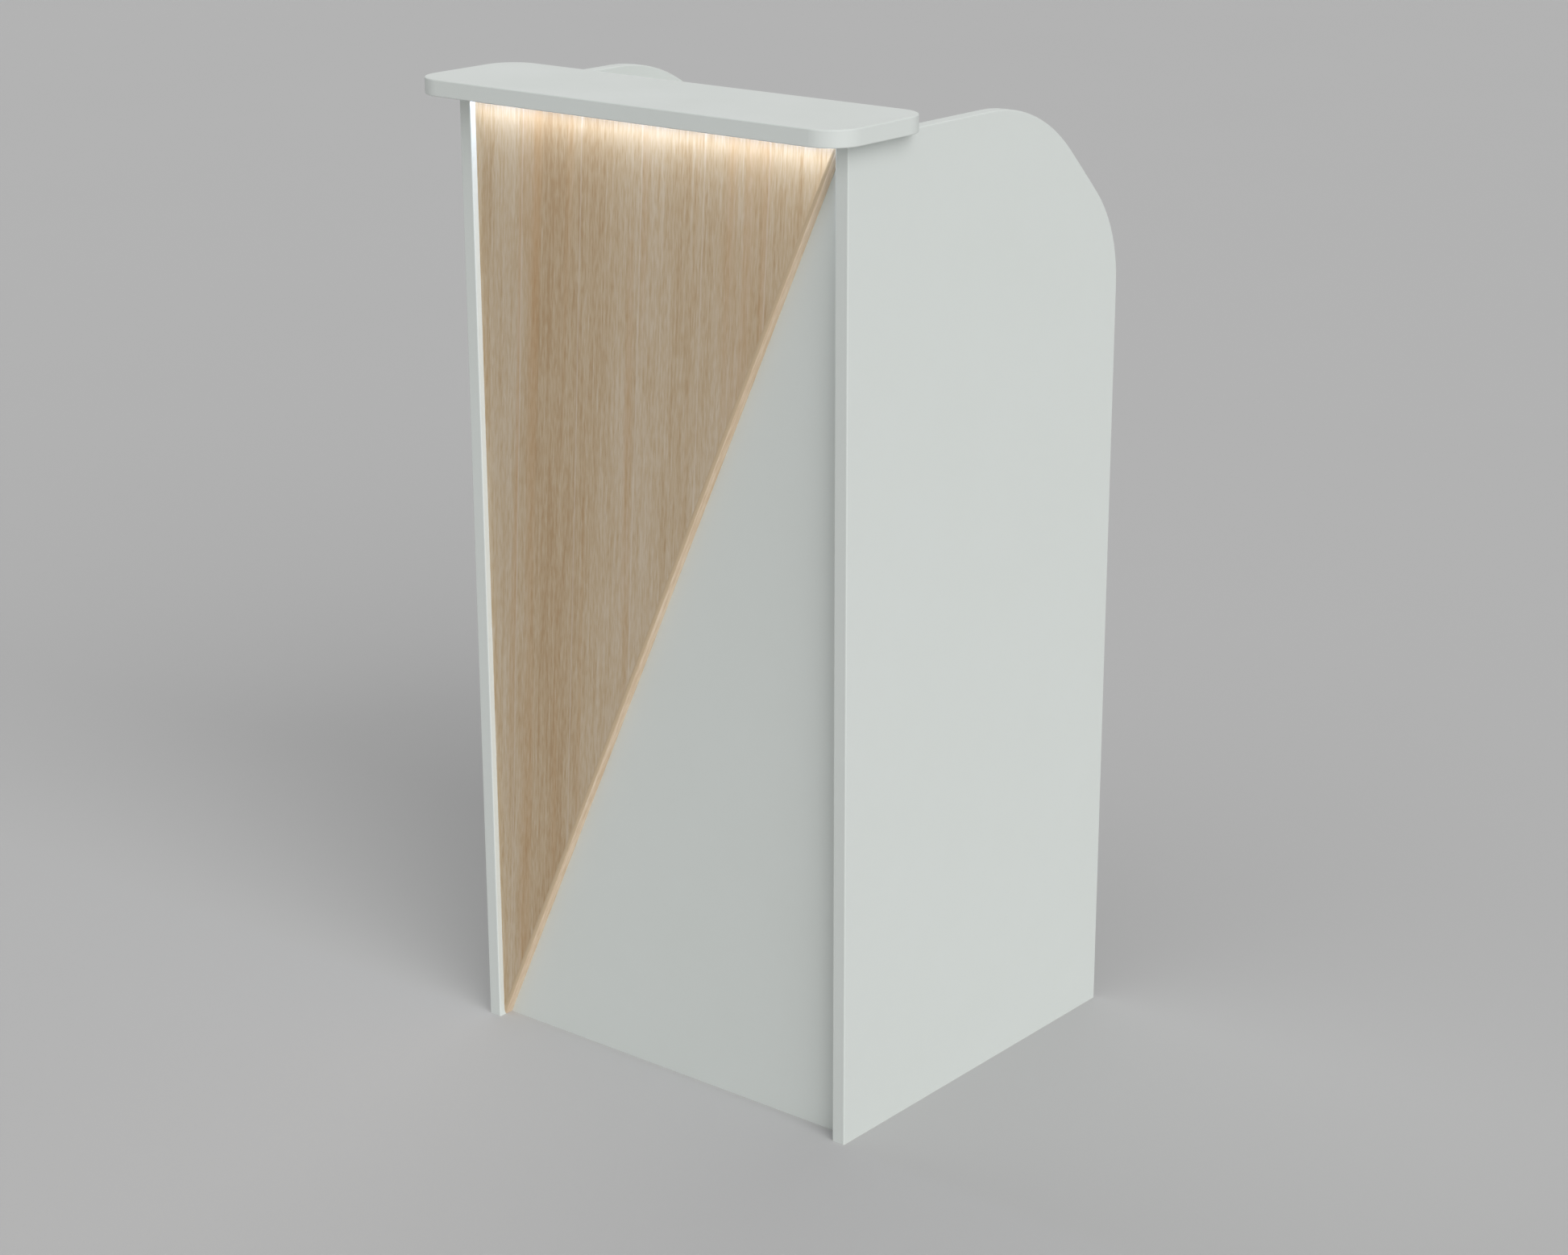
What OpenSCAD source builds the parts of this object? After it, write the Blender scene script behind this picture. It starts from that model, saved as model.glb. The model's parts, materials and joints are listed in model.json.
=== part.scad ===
// Presentation lectern: a board carcass with a lit oak front, a reading desk, shelves and levelling feet.
// Millimetres, +Z up. The audience stands at -Y and the speaker at +Y.
// The origin lies on the floor, below the middle of the overall box.

/* [Carcass] */
// Clear width between the side panels
inner_w = 550; // [500:1:640]
// Height of the side panels and the front panel
panel_h = 1200; // [1160:1:1260]
// Depth of a side panel, from its front edge to its rear edge
panel_d = 534; // [500:1:600]
// Thickness of the pale boards
board_t = 18; // [16:0.5:22]
// Radius rolled on the exposed edges of the pale boards
edge_r = 1.5; // [1:0.5:5]
// Blend radius between a side panel's top edge and its 45 degree shoulder
shoulder_top_r = 230; // [150:5:260]
// Blend radius between a side panel's shoulder and its rear edge
shoulder_rear_r = 170; // [100:5:200]
// Radius of the shoulder's long crown between the two blends
crown_r = 3900; // [3000:50:4500]
// Turn of the shoulder along its crown, in degrees
crown_turn = 1.2; // [0.8:0.1:1.6]

/* [Oak front] */
// Set-back of the oak face behind the front edges of the side panels
facing_recess = 8; // [8:0.5:16]
// Thickness of the oak facing
facing_t = 14; // [12:0.5:22]
// Thickness of the solid oak edge band on the diagonal
band_t = 5; // [4:0.5:8]
// Radius rolled on the front edge of the edge band
band_r = 4; // [2:0.5:4]

/* [Ledge] */
// Overhang of the ledge ahead of the side panels
ledge_front = 53; // [30:1:80]
// Overhang of the ledge beyond each side panel
ledge_side = 27; // [15:1:45]
// Depth of the ledge from front to rear
ledge_d = 170; // [160:1:220]
// Thickness of the ledge
ledge_t = 20; // [18:0.5:25]
// Radius of the ledge's corners in plan
ledge_corner_r = 40; // [15:1:60]
// Diameter of the dowels between the side panels and the ledge
dowel_d = 8; // [6:0.5:10]
// Length of these dowels
dowel_l = 30; // [24:1:34]
// Length of a dowel that sits in the ledge
dowel_in_ledge = 10; // [8:0.5:12]

/* [Light] */
// Width of the light profile let into the ledge
profile_w = 8; // [7:0.5:10]
// Height of the light profile
profile_h = 7; // [6.5:0.25:9]
// Wall of the light profile
profile_wall = 1; // [0.8:0.1:1.2]
// Thickness of the opal diffuser
diffuser_t = 1.2; // [0.8:0.1:1.4]
// Width of the LED tape
tape_w = 5; // [4:0.5:5]
// Thickness of the LED tape
tape_t = 1.4; // [0.8:0.1:1.4]
// Thickness of the profile's end caps
cap_t = 2; // [1:0.5:4]

/* [Reading desk] */
// Slope of the desk
desk_angle = 10; // [4:1:13]
// Distance of the desk's surface at the speaker's edge below the top of the side panels
desk_z = 200; // [170:1:240]
// Set-back of the speaker's edge from the side panels' rear edges
desk_inset = 45; // [35:1:80]
// Cable gap between the desk and the front panel
desk_gap = 12; // [8:1:30]
// Thickness of the paper stop
stop_t = 12; // [8:0.5:18]
// Height of the paper stop above the desk
stop_h = 15; // [8:0.5:25]
// Rounding of the paper stop's top edges
stop_r = 4; // [2:0.5:4]
// Set-back of the apron rail from the speaker's edge of the desk
apron_inset = 20; // [10:1:60]
// Height of the apron rail
apron_h = 80; // [70:1:110]
// Width of a desk cleat
cleat_w = 20; // [16:1:30]
// Height of a desk cleat
cleat_h = 20; // [16:1:30]

/* [Shelves] */
// Height of the adjustable shelf's underside
shelf_z = 520; // [360:1:640]
// Side play of the adjustable shelf
shelf_play = 1; // [0.5:0.25:2]
// Set-back of the adjustable shelf from the side panels' rear edges
shelf_inset = 60; // [30:1:80]
// Pitch of the shelf pin holes
pin_pitch = 32; // [25:1:40]
// Diameter of a shelf pin
pin_d = 5; // [4:0.5:7]
// Depth of a shelf pin hole
pin_depth = 10; // [8:0.5:12]
// Distance of the shelf pins from the shelf's front and rear edges
pin_inset = 55; // [40:1:90]
// Height of the plinth below the bottom shelf
plinth_h = 80; // [76:1:120]
// Set-back of the bottom shelf from the side panels' rear edges
bottom_inset = 35; // [20:1:80]
// Set-back of the plinth from the bottom shelf's rear edge
plinth_inset = 20; // [5:1:60]

/* [Cable grommet] */
// Distance of the grommet's centre from the left side panel
grommet_side = 85; // [70:1:140]
// Distance of the grommet's centre from the desk's upper edge
grommet_set = 70; // [50:1:120]
// Diameter of the hole in the desk
grommet_d = 60; // [56:1:70]
// Diameter of the grommet's flange
flange_d = 68; // [64:1:80]
// Height of the flange above the desk
flange_h = 4; // [3.5:0.5:6]
// Wall of the grommet's sleeve
sleeve_wall = 2.5; // [2:0.25:3]
// Width of the seat that carries the cap
seat_w = 2; // [1.5:0.25:3]
// Thickness of the cap
lid_t = 3; // [2:0.25:3]
// Width of the cable notch in the cap
notch_w = 16; // [12:1:20]
// Depth of the cable notch in the cap
notch_l = 15; // [13:1:17]

/* [Switch] */
// Distance of the switch's centre from the right side panel
switch_side = 75; // [50:1:150]
// Diameter of the switch's body
switch_d = 20; // [19.5:0.5:24]
// Diameter of the switch's flange
switch_flange_d = 24; // [23:0.5:28]
// Thickness of the switch's flange
switch_flange_t = 2; // [1.5:0.25:3]
// Radius of the rocker about its pivot
rocker_r = 7.6; // [6:0.1:7.8]
// Width of the rocker along its pivot
rocker_w = 9; // [7:0.25:9.5]
// Tilt of the rocker to either side of its middle
rocker_tilt = 9; // [6:1:12]
// Diameter of the rocker's pivot pins
pivot_d = 2; // [1.5:0.1:2.4]

/* [Supply] */
// Length of the LED driver
driver_w = 140; // [110:1:160]
// Height of the LED driver
driver_h = 40; // [36:1:50]
// Depth of the LED driver
driver_d = 28; // [22:1:40]
// Distance of the driver's centre from the middle of the lectern
driver_x = 60; // [0:1:90]
// Diameter of the two leads
lead_d = 3; // [2.4:0.1:3.2]
// Bend radius of the leads at their middle line
lead_bend = 6; // [6:0.5:10]
// Distance of the LED lead's rise from the left side panel
lead_side = 50; // [40:1:70]

/* [Fittings] */
// Diameter of a cam lock
cam_d = 15; // [12:0.5:18]
// Depth of a cam lock
cam_h = 12.5; // [11:0.5:13.5]
// Distance of a cam lock's centre from the side panel
cam_set = 24; // [20:1:34]
// Diameter of a cam bolt's shank
bolt_d = 6; // [5:0.5:7]
// Diameter of a cam bolt's thread
thread_d = 5; // [4:0.5:5]
// Depth of a cam bolt's thread in the side panel
thread_l = 10; // [8:0.5:12]
// Leg of a ledge bracket
angle_leg = 40; // [30:1:45]
// Width of a ledge bracket
angle_w = 20; // [16:1:30]
// Thickness of a ledge bracket
angle_t = 2; // [1.5:0.25:4]
// Distance between the two ledge brackets on the front panel
angle_span = 300; // [200:1:380]
// Diameter of the wood screws' shank
screw_d = 4; // [3:0.25:4.5]
// Length of the wood screws below the head
screw_l = 14; // [10:0.5:15]

/* [Levelling feet] */
// Distance of a foot's centre from the side panel
foot_side = 30; // [24:1:45]
// Distance of a foot's centre from the front panel and the plinth
foot_inset = 45; // [36:1:80]
// Diameter of a foot's base
foot_d = 36; // [26:1:44]
// Diameter of a foot's stem
stem_d = 10; // [8:0.5:12]
// Height of a foot from the floor to the end of its stem
stem_top = 66; // [62:1:72]
// Height of a foot bracket's underside above the floor
hub_z = 28; // [28:1:32]
// Height of a foot bracket
hub_h = 30; // [26:1:32]

/* [Hidden] */
$fn = 64;

// Clearances and cutting allowances
snug = 0.05;
turning_gap = 0.3;
over = 1;

// Colours
pale = "#d9dfd9";
oak = "#c8ac86";
oak_edge = "#d2b48a";
beech = "#d8bf95";
metal = "#b9bcc0";
zinc = "#9a9ea2";
opal = "#fff3dc";
dark = "#2b2d30";
lead_grey = "#dcdcd8";

// Planes that the pieces share
overall_d = ledge_front + panel_d;
front_y = ledge_front - overall_d / 2;
rear_y = overall_d / 2;
wall_x = inner_w / 2;
facing_y = front_y + facing_recess;
front_panel_y = facing_y + facing_t;
back_y = front_panel_y + board_t;
ledge_y = -overall_d / 2;
ledge_rear_y = ledge_y + ledge_d;
ledge_x = wall_x + board_t + ledge_side;
profile_y = front_y + facing_recess / 2;
tape_z = panel_h + profile_h - profile_wall - tape_t;

// Shoulder of a side panel: three tangent arcs from the rear edge to the top edge
blend_turn = (90 - crown_turn) / 2;
crown_end = blend_turn + crown_turn;
shoulder_drop = shoulder_rear_r * sin(blend_turn) + crown_r * (sin(crown_end) - sin(blend_turn))
    + shoulder_top_r * (1 - sin(crown_end));
rear_centre = [rear_y - shoulder_rear_r, panel_h - shoulder_drop, 0];
crown_centre = rear_centre + (shoulder_rear_r - crown_r) * [cos(blend_turn), sin(blend_turn), 0];
top_centre = crown_centre + (crown_r - shoulder_top_r) * [cos(crown_end), sin(crown_end), 0];

// Oak band: where its inner edge meets the top and the left side
diagonal = norm([inner_w, panel_h]);
band_x = wall_x - band_t * diagonal / panel_h;
band_z = band_t * diagonal / inner_w;

// Desk and what hangs below it
desk_y = rear_y - desk_inset;
desk_edge_z = panel_h - desk_z;
desk_l = (desk_y - back_y - desk_gap - board_t * sin(desk_angle)) / cos(desk_angle);
apron_y = desk_y - apron_inset - board_t;
apron_z = desk_under(desk_y - apron_inset) - apron_h;
cleat_gap = 10;
cleat_y = -desk_l + cleat_gap;
cleat_l = (apron_y - desk_y) / cos(desk_angle) - cleat_gap - cleat_y;
cleat_screw_count = 3;
cleat_screw_grip = 12;
cleat_screw_l = cleat_w + cleat_screw_grip;

// Shelves
shelf_y = back_y + shelf_play;
shelf_rear_y = rear_y - shelf_inset;
pin_ys = [shelf_y + pin_inset, shelf_rear_y - pin_inset];
pin_z = shelf_z - pin_d / 2;
pin_rows = [-2:2];
paddle = [8, 10, 3];
bottom_rear_y = rear_y - bottom_inset;
plinth_y = bottom_rear_y - plinth_inset - board_t;

// Grommet and cap
grommet_x = grommet_side - wall_x;
sleeve_r = grommet_d / 2 - snug;
cap_seat_r = sleeve_r - sleeve_wall;
throat_r = cap_seat_r - seat_w;
cap_r = cap_seat_r - turning_gap;
flange_bevel = 1.5;

// Switch
switch_x = wall_x - switch_side;
switch_z = apron_z + apron_h / 2;
switch_face_y = apron_y + board_t + switch_flange_t;
rocker_lift = 3;
rocker_back = 4;
pivot_y = switch_face_y - rocker_lift;
pocket_room = 2;
pocket_depth = rocker_lift + rocker_back + pocket_room;
switch_proud = 2;
switch_back_y = apron_y - switch_proud;
pivot_l = 1.5;
tab = [4, 6, 0.8];
tab_pitch = 10;

// Supply and leads
lead_gap = 2;
lead_off = lead_d / 2 + lead_gap;
lead_y = back_y + lead_off;
lead_x = lead_side - wall_x;
lead_wall_x = wall_x - lead_off;
lead_z = switch_z;
lead_top_z = (panel_h + diffuser_t + tape_z) / 2;
channel_gap = 1;
switch_turn_y = switch_back_y - 2 * lead_bend;
lead_rise = 12;
driver_z = lead_z - lead_rise;
driver_corner_r = 4;
driver_edge_r = 1.5;
ear = [13, 16, 2];
ear_lap = 1;
ear_x = (driver_w + ear[0]) / 2 - ear_lap;
inlet_w = 16;
inlet_h = 8;
inlet_l = 11;
inlet_pin_d = 2.4;
inlet_pin_set = 2;
inlet_pin_pitch = 8;
led_route = [
    [driver_x - driver_w / 2, lead_y, lead_z], [lead_x, lead_y, lead_z],
    [lead_x, lead_y, lead_top_z], [lead_x, profile_y, lead_top_z]
];
switch_route = [
    [driver_x + driver_w / 2, lead_y, lead_z], [lead_wall_x, lead_y, lead_z],
    [lead_wall_x, switch_turn_y, lead_z], [switch_x, switch_turn_y, lead_z], [switch_x, switch_back_y, lead_z]
];
clip_l = 7;
clip_wall = 1.4;
clip_foot = [11, 1.2];
clip_spots = 3;

// Fittings
dowel_inset = 22;
screw_head_d = 2 * screw_d;
screw_head_h = 0.6 * screw_d;
screw_tip = screw_d;
oak_left = 7;
long_screw_l = board_t + facing_t - oak_left;
cam_end = 150;
front_cam_zs = [cam_end, panel_h / 2, panel_h - cam_end];
bottom_cam_front = 60;
bottom_cam_rear = 70;
bottom_cam_ys = [back_y + bottom_cam_front, bottom_rear_y - bottom_cam_rear];
cam_slot = [9, 2, 2];
facing_screw_drops = [80, 400, 720];
facing_screw_side = 75;
facing_screw_edge = 90;
angle_hole_end = 16;
angle_hole = angle_leg - angle_hole_end;

// Levelling feet
foot_ys = [back_y + foot_inset, plinth_y - foot_inset];
foot_base_h = 5;
foot_neck_z = 9;
foot_nut_d = 19;
foot_nut_top = 15;
foot_chamfer = 1;
hub_wall = 9;
hub_r = stem_d / 2 + hub_wall;
hub_plate = 4;
hub_ear = 18;
hub_plate_w = 2 * (hub_r + hub_ear);
hub_screw_y = hub_r + hub_ear / 2;

// Height of the desk's underside above the floor at a distance y
function desk_under(y) = desk_edge_z + (desk_y - y) * tan(desk_angle) - board_t / cos(desk_angle);

// Corner outlines are lists of [x, y, radius], counterclockwise
function unit(v) = v / norm(v);
function flat(c) = [c[0], c[1]];
function before(c, i) = flat(c[(i + len(c) - 1) % len(c)]);
function after(c, i) = flat(c[(i + 1) % len(c)]);
function heading_in(c, i) = unit(flat(c[i]) - before(c, i));
function heading_out(c, i) = unit(after(c, i) - flat(c[i]));
function turn(c, i) = acos(heading_in(c, i) * heading_out(c, i));
function tangent(c, i) = c[i][2] * tan(turn(c, i) / 2);
function arc_start(c, i) = flat(c[i]) - heading_in(c, i) * tangent(c, i);
function arc_end(c, i) = flat(c[i]) + heading_out(c, i) * tangent(c, i);
function arc_centre(c, i) = arc_start(c, i) + c[i][2] * [-heading_in(c, i)[1], heading_in(c, i)[0]];

// Flat outline with a true arc at each rounded corner
module outline(c) {
    polygon([for (i = [0:len(c) - 1]) each c[i][2] > 0 ? [arc_start(c, i), arc_end(c, i)] : [flat(c[i])]]);
    for (i = [0:len(c) - 1])
        if (c[i][2] > 0)
            translate(arc_centre(c, i))
                circle(c[i][2]);
}

// Section of the waste that a rounding cutter takes off an edge
module edge_waste(r) {
    difference() {
        translate([-over, -over])
            square(r + over);
        translate([r, r])
            circle(r);
    }
}

// Rounding cutter along the lower edge of an outline, without the straight sides that are left square
module edge_cutter(c, r, square_sides) {
    for (i = [0:len(c) - 1]) {
        start = arc_end(c, i);
        run = arc_start(c, (i + 1) % len(c)) - start;
        if (len(search(i, square_sides)) == 0)
            translate(start)
                rotate([0, 0, atan2(run[1], run[0])])
                    rotate([90, 0, 90])
                        linear_extrude(norm(run))
                            edge_waste(r);
        if (c[i][2] > 0)
            translate(arc_centre(c, i))
                rotate([0, 0, atan2(heading_in(c, i)[1], heading_in(c, i)[0]) - 90])
                    rotate_extrude(angle = turn(c, i))
                        translate([c[i][2], 0])
                            mirror([1, 0])
                                edge_waste(r);
    }
}

// Board of a given outline and thickness with rolled edges on both faces
module rolled_board(c, t, r, square_sides = []) {
    difference() {
        linear_extrude(t)
            outline(c);
        edge_cutter(c, r, square_sides);
        translate([0, 0, t])
            mirror([0, 0, 1])
                edge_cutter(c, r, square_sides);
    }
}

// Moves by a long offset in two steps, so that none of its digits are lost
function hundredths(v) = [for (x = v) round(x * 100) / 100];

module place(v) {
    translate(hundredths(v))
        translate(v - hundredths(v))
            children();
}

// Draws in the plane of a side panel: drawing x along Y, drawing y up, thickness along +X
module along_x(x) {
    translate([x, 0, 0])
        rotate([90, 0, 90])
            children();
}

// Draws on the sloping desk: origin at the middle of the speaker's top edge, z square to the surface
module on_desk() {
    translate([0, desk_y, desk_edge_z])
        rotate([-desk_angle, 0, 0])
            children();
}

// Draws on the right and, mirrored, on the left
module both_sides() {
    children();
    mirror([1, 0, 0])
        children();
}

// Wood screw along -Z with its head above z = 0
module pan_screw(l) {
    rotate_extrude()
        polygon([
            [0, -l], [screw_d / 2, screw_tip - l], [screw_d / 2, 0], [screw_head_d / 2, 0],
            [screw_head_d / 2, screw_head_h / 2], [screw_head_d / 4, screw_head_h], [0, screw_head_h]
        ]);
}

// Pilot hole of a wood screw along -Z
module pilot(l) {
    translate([0, 0, -l])
        cylinder(d = screw_d + 2 * snug, h = l + over);
}

// Carcass

// Section of the waste along a side panel's edge: drawing x outwards, drawing y across the board
module edge_section() {
    mirror([1, 0])
        edge_waste(edge_r);
    translate([0, board_t])
        rotate(180)
            edge_waste(edge_r);
}

// Waste outside one arc of the shoulder
module shoulder_waste(centre, r, start, turn) {
    place(centre)
        rotate_extrude(angle = turn, start = start)
            translate([r, 0]) {
                edge_section();
                translate([0, -over])
                    square([shoulder_drop, board_t + 2 * over]);
            }
}

// Right side panel, without its drilled holes
module side_blank() {
    along_x(wall_x)
        difference() {
            translate([front_y, 0])
                cube([panel_d, panel_h, board_t]);
            shoulder_waste(rear_centre, shoulder_rear_r, 0, blend_turn);
            shoulder_waste(crown_centre, crown_r, blend_turn, crown_turn);
            shoulder_waste(top_centre, shoulder_top_r, crown_end, blend_turn);
            place([rear_y, rear_centre[1], 0])
                rotate([90, 0, 0])
                    linear_extrude(rear_centre[1] + over)
                        edge_section();
            place([top_centre[0], panel_h, board_t])
                rotate([-90, 0, 90])
                    linear_extrude(top_centre[0] - front_y + over)
                        edge_section();
            translate([front_y, -over])
                rotate([90, 0, 180])
                    linear_extrude(panel_h + 2 * over)
                        edge_section();
        }
}

module right_panel_shape() {
    difference() {
        side_blank();
        for (y = pin_ys, k = pin_rows)
            translate([wall_x - over, y, pin_z + k * pin_pitch])
                rotate([0, 90, 0])
                    cylinder(d = pin_d + 2 * snug, h = pin_depth + over);
        ledge_dowel_holes();
        at_cams(all_cams())
            cam_bolt_hole();
        at_side_bracket()
            bracket_wall_hole();
        at_cleat_screws()
            pilot(cleat_screw_l);
        at_foot_screws()
            pilot(screw_l);
    }
}

module right_side_panel() {
    color(pale)
        right_panel_shape();
}

module left_side_panel() {
    color(pale)
        mirror([1, 0, 0])
            right_panel_shape();
}

module front_panel() {
    color(pale)
        difference() {
            translate([-wall_x, front_panel_y, 0])
                cube([inner_w, board_t, panel_h]);
            both_sides()
                at_cams(front_cams())
                    cam_hole();
            at_facing_screws()
                facing_screw_hole();
            at_front_brackets()
                bracket_wall_hole();
            at_driver_screws()
                pilot(screw_l);
        }
}

// Oak front

// Draws on the front panel: drawing x along X, drawing y up, thickness towards the audience
module on_front() {
    translate([0, front_panel_y, 0])
        rotate([90, 0, 0])
            children();
}

module oak_facing() {
    color(oak)
        difference() {
            on_front()
                linear_extrude(facing_t)
                    polygon([[-wall_x, band_z], [band_x, panel_h], [-wall_x, panel_h]]);
            at_facing_screws()
                facing_screw_hole();
        }
}

module oak_edge_band() {
    corners = [[-wall_x, 0, 0], [wall_x, panel_h, 0], [band_x, panel_h, 0], [-wall_x, band_z, 0]];
    square_sides = [1, 2, 3];
    color(oak_edge)
        on_front()
            difference() {
                linear_extrude(facing_t)
                    outline(corners);
                translate([0, 0, facing_t])
                    mirror([0, 0, 1])
                        edge_cutter(corners, band_r, square_sides);
            }
}

// Countersunk screws that draw the oak onto the front panel
function diagonal_x(z) = inner_w * z / panel_h - wall_x;

module at_facing_screws() {
    for (drop = facing_screw_drops) {
        z = panel_h - drop;
        for (x = [facing_screw_side - wall_x, diagonal_x(z) - facing_screw_edge])
            translate([x, back_y, z])
                rotate([-90, 0, 0])
                    children();
    }
}

module facing_screw_shape(gap) {
    rotate_extrude()
        polygon([
            [0, -long_screw_l - gap], [screw_d / 2 + gap, screw_tip - long_screw_l],
            [screw_d / 2 + gap, -screw_head_d / 4], [screw_head_d / 2 + gap, 0], [0, 0]
        ]);
}

module facing_screw_hole() {
    facing_screw_shape(snug);
}

module facing_screws() {
    color(zinc)
        at_facing_screws()
            facing_screw_shape(0);
}

// Ledge

module top_ledge() {
    corners = [
        [-ledge_x, ledge_y, ledge_corner_r], [ledge_x, ledge_y, ledge_corner_r],
        [ledge_x, ledge_rear_y, ledge_corner_r], [-ledge_x, ledge_rear_y, ledge_corner_r]
    ];
    channel_w = lead_d + channel_gap;
    channel_h = lead_top_z - panel_h + channel_w / 2;
    color(pale)
        difference() {
            translate([0, 0, panel_h])
                rolled_board(corners, ledge_t, edge_r);
            translate([-wall_x, profile_y - profile_w / 2, panel_h - over])
                cube([inner_w, profile_w, profile_h + over]);
            translate([lead_x - channel_w / 2, profile_y, panel_h - over])
                cube([channel_w, lead_y + channel_w - profile_y, channel_h + over]);
            both_sides()
                ledge_dowel_holes();
            at_all_brackets()
                bracket_ledge_hole();
        }
}

// Dowels between the side panels' top edges and the ledge, on the right
module at_right_dowels() {
    for (y = [front_y + dowel_inset, ledge_rear_y - dowel_inset])
        translate([wall_x + board_t / 2, y, panel_h + dowel_in_ledge - dowel_l])
            children();
}

module ledge_dowel_holes() {
    at_right_dowels()
        cylinder(d = dowel_d + 2 * snug, h = dowel_l);
}

module ledge_dowels() {
    color(beech)
        both_sides()
            at_right_dowels()
                cylinder(d = dowel_d, h = dowel_l);
}

// Angle brackets below the ledge: corner at the origin, wall behind y = 0, ledge above z = 0
module angle_bracket() {
    difference() {
        union() {
            translate([-angle_w / 2, 0, -angle_leg])
                cube([angle_w, angle_t, angle_leg]);
            translate([-angle_w / 2, 0, -angle_t])
                cube([angle_w, angle_leg, angle_t]);
        }
        bracket_wall_hole();
        bracket_ledge_hole();
    }
}

module at_wall_screw() {
    translate([0, angle_t, -angle_hole])
        rotate([-90, 0, 0])
            children();
}

module at_ledge_screw() {
    translate([0, angle_hole, -angle_t])
        rotate([180, 0, 0])
            children();
}

module bracket_wall_hole() {
    at_wall_screw()
        pilot(screw_l);
}

module bracket_ledge_hole() {
    at_ledge_screw()
        pilot(screw_l);
}

module at_front_brackets() {
    for (x = [-angle_span / 2, angle_span / 2])
        translate([x, back_y, panel_h])
            children();
}

module at_side_bracket() {
    translate([wall_x, (back_y + ledge_rear_y) / 2, panel_h])
        rotate([0, 0, 90])
            children();
}

module at_all_brackets() {
    at_front_brackets()
        children();
    both_sides()
        at_side_bracket()
            children();
}

module ledge_brackets() {
    color(zinc)
        at_all_brackets()
            angle_bracket();
}

module bracket_screws() {
    color(zinc)
        at_all_brackets() {
            at_wall_screw()
                pan_screw(screw_l);
            at_ledge_screw()
                pan_screw(screw_l);
        }
}

// Light

// Bar along X below the ledge, between the end caps, given its width, its lowest height and its thickness
module light_bar(w, z, t) {
    translate([cap_t - wall_x, profile_y - w / 2, z])
        cube([inner_w - 2 * cap_t, w, t]);
}

module led_profile() {
    color(metal)
        difference() {
            light_bar(profile_w, panel_h, profile_h);
            translate([0, 0, -over])
                light_bar(profile_w - 2 * profile_wall, panel_h, profile_h - profile_wall + over);
            translate([lead_x, profile_y, lead_top_z])
                rotate([-90, 0, 0])
                    cylinder(d = lead_d + 2 * snug, h = profile_w);
        }
}

module led_tape() {
    color(opal)
        light_bar(tape_w, tape_z, tape_t);
}

module led_diffuser() {
    color(opal)
        light_bar(profile_w - 2 * profile_wall, panel_h, diffuser_t);
}

module led_end_caps() {
    color(metal)
        both_sides()
            translate([wall_x - cap_t, profile_y - profile_w / 2, panel_h])
                cube([cap_t, profile_w, profile_h]);
}

// Reading desk

module at_grommet() {
    on_desk()
        translate([grommet_x, grommet_set - desk_l, 0])
            children();
}

module reading_desk() {
    color(pale)
        difference() {
            on_desk()
                translate([-wall_x, -desk_l, -board_t])
                    cube([inner_w, desk_l, board_t]);
            at_grommet()
                translate([0, 0, -board_t - over])
                    cylinder(d = grommet_d, h = board_t + 2 * over);
        }
}

module paper_stop() {
    corners = [[0, -board_t, 0], [stop_t, -board_t, 0], [stop_t, stop_h, stop_r], [0, stop_h, stop_r]];
    color(oak)
        on_desk()
            along_x(-wall_x)
                linear_extrude(inner_w)
                    outline(corners);
}

module apron_rail() {
    color(pale)
        difference() {
            along_x(-wall_x)
                linear_extrude(inner_w)
                    polygon([
                        [apron_y, apron_z], [apron_y + board_t, apron_z],
                        [apron_y + board_t, desk_under(apron_y + board_t)], [apron_y, desk_under(apron_y)]
                    ]);
            both_sides()
                at_cams(apron_cams())
                    cam_hole();
            translate([switch_x, apron_y - over, switch_z])
                rotate([-90, 0, 0])
                    cylinder(d = switch_d + 2 * snug, h = board_t + 2 * over);
        }
}

module at_cleat_screws() {
    pitch = cleat_l / cleat_screw_count;
    for (i = [1:cleat_screw_count])
        on_desk()
            translate([wall_x - cleat_w, cleat_y + (i - 0.5) * pitch, -board_t - cleat_h / 2])
                rotate([0, -90, 0])
                    children();
}

module desk_cleats() {
    color(beech)
        both_sides()
            difference() {
                on_desk()
                    translate([wall_x - cleat_w, cleat_y, -board_t - cleat_h])
                        cube([cleat_w, cleat_l, cleat_h]);
                at_cleat_screws()
                    pilot(cleat_screw_l);
            }
}

module cleat_screws() {
    color(zinc)
        both_sides()
            at_cleat_screws()
                pan_screw(cleat_screw_l);
}

// Cable grommet

module cable_grommet() {
    color(dark)
        at_grommet()
            rotate_extrude()
                polygon([
                    [throat_r, -board_t], [sleeve_r, -board_t], [sleeve_r, 0], [flange_d / 2, 0],
                    [flange_d / 2, flange_h - flange_bevel], [flange_d / 2 - flange_bevel, flange_h],
                    [cap_seat_r, flange_h], [cap_seat_r, flange_h - lid_t], [throat_r, flange_h - lid_t]
                ]);
}

module grommet_cap() {
    color(dark)
        at_grommet()
            translate([0, 0, flange_h - lid_t])
                difference() {
                    cylinder(r = cap_r, h = lid_t);
                    translate([-notch_w / 2, -cap_r - over, -over])
                        cube([notch_w, notch_l - notch_w / 2 + over, lid_t + 2 * over]);
                    translate([0, notch_l - notch_w / 2 - cap_r, -over])
                        cylinder(d = notch_w, h = lid_t + 2 * over);
                }
}

// Shelves

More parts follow.
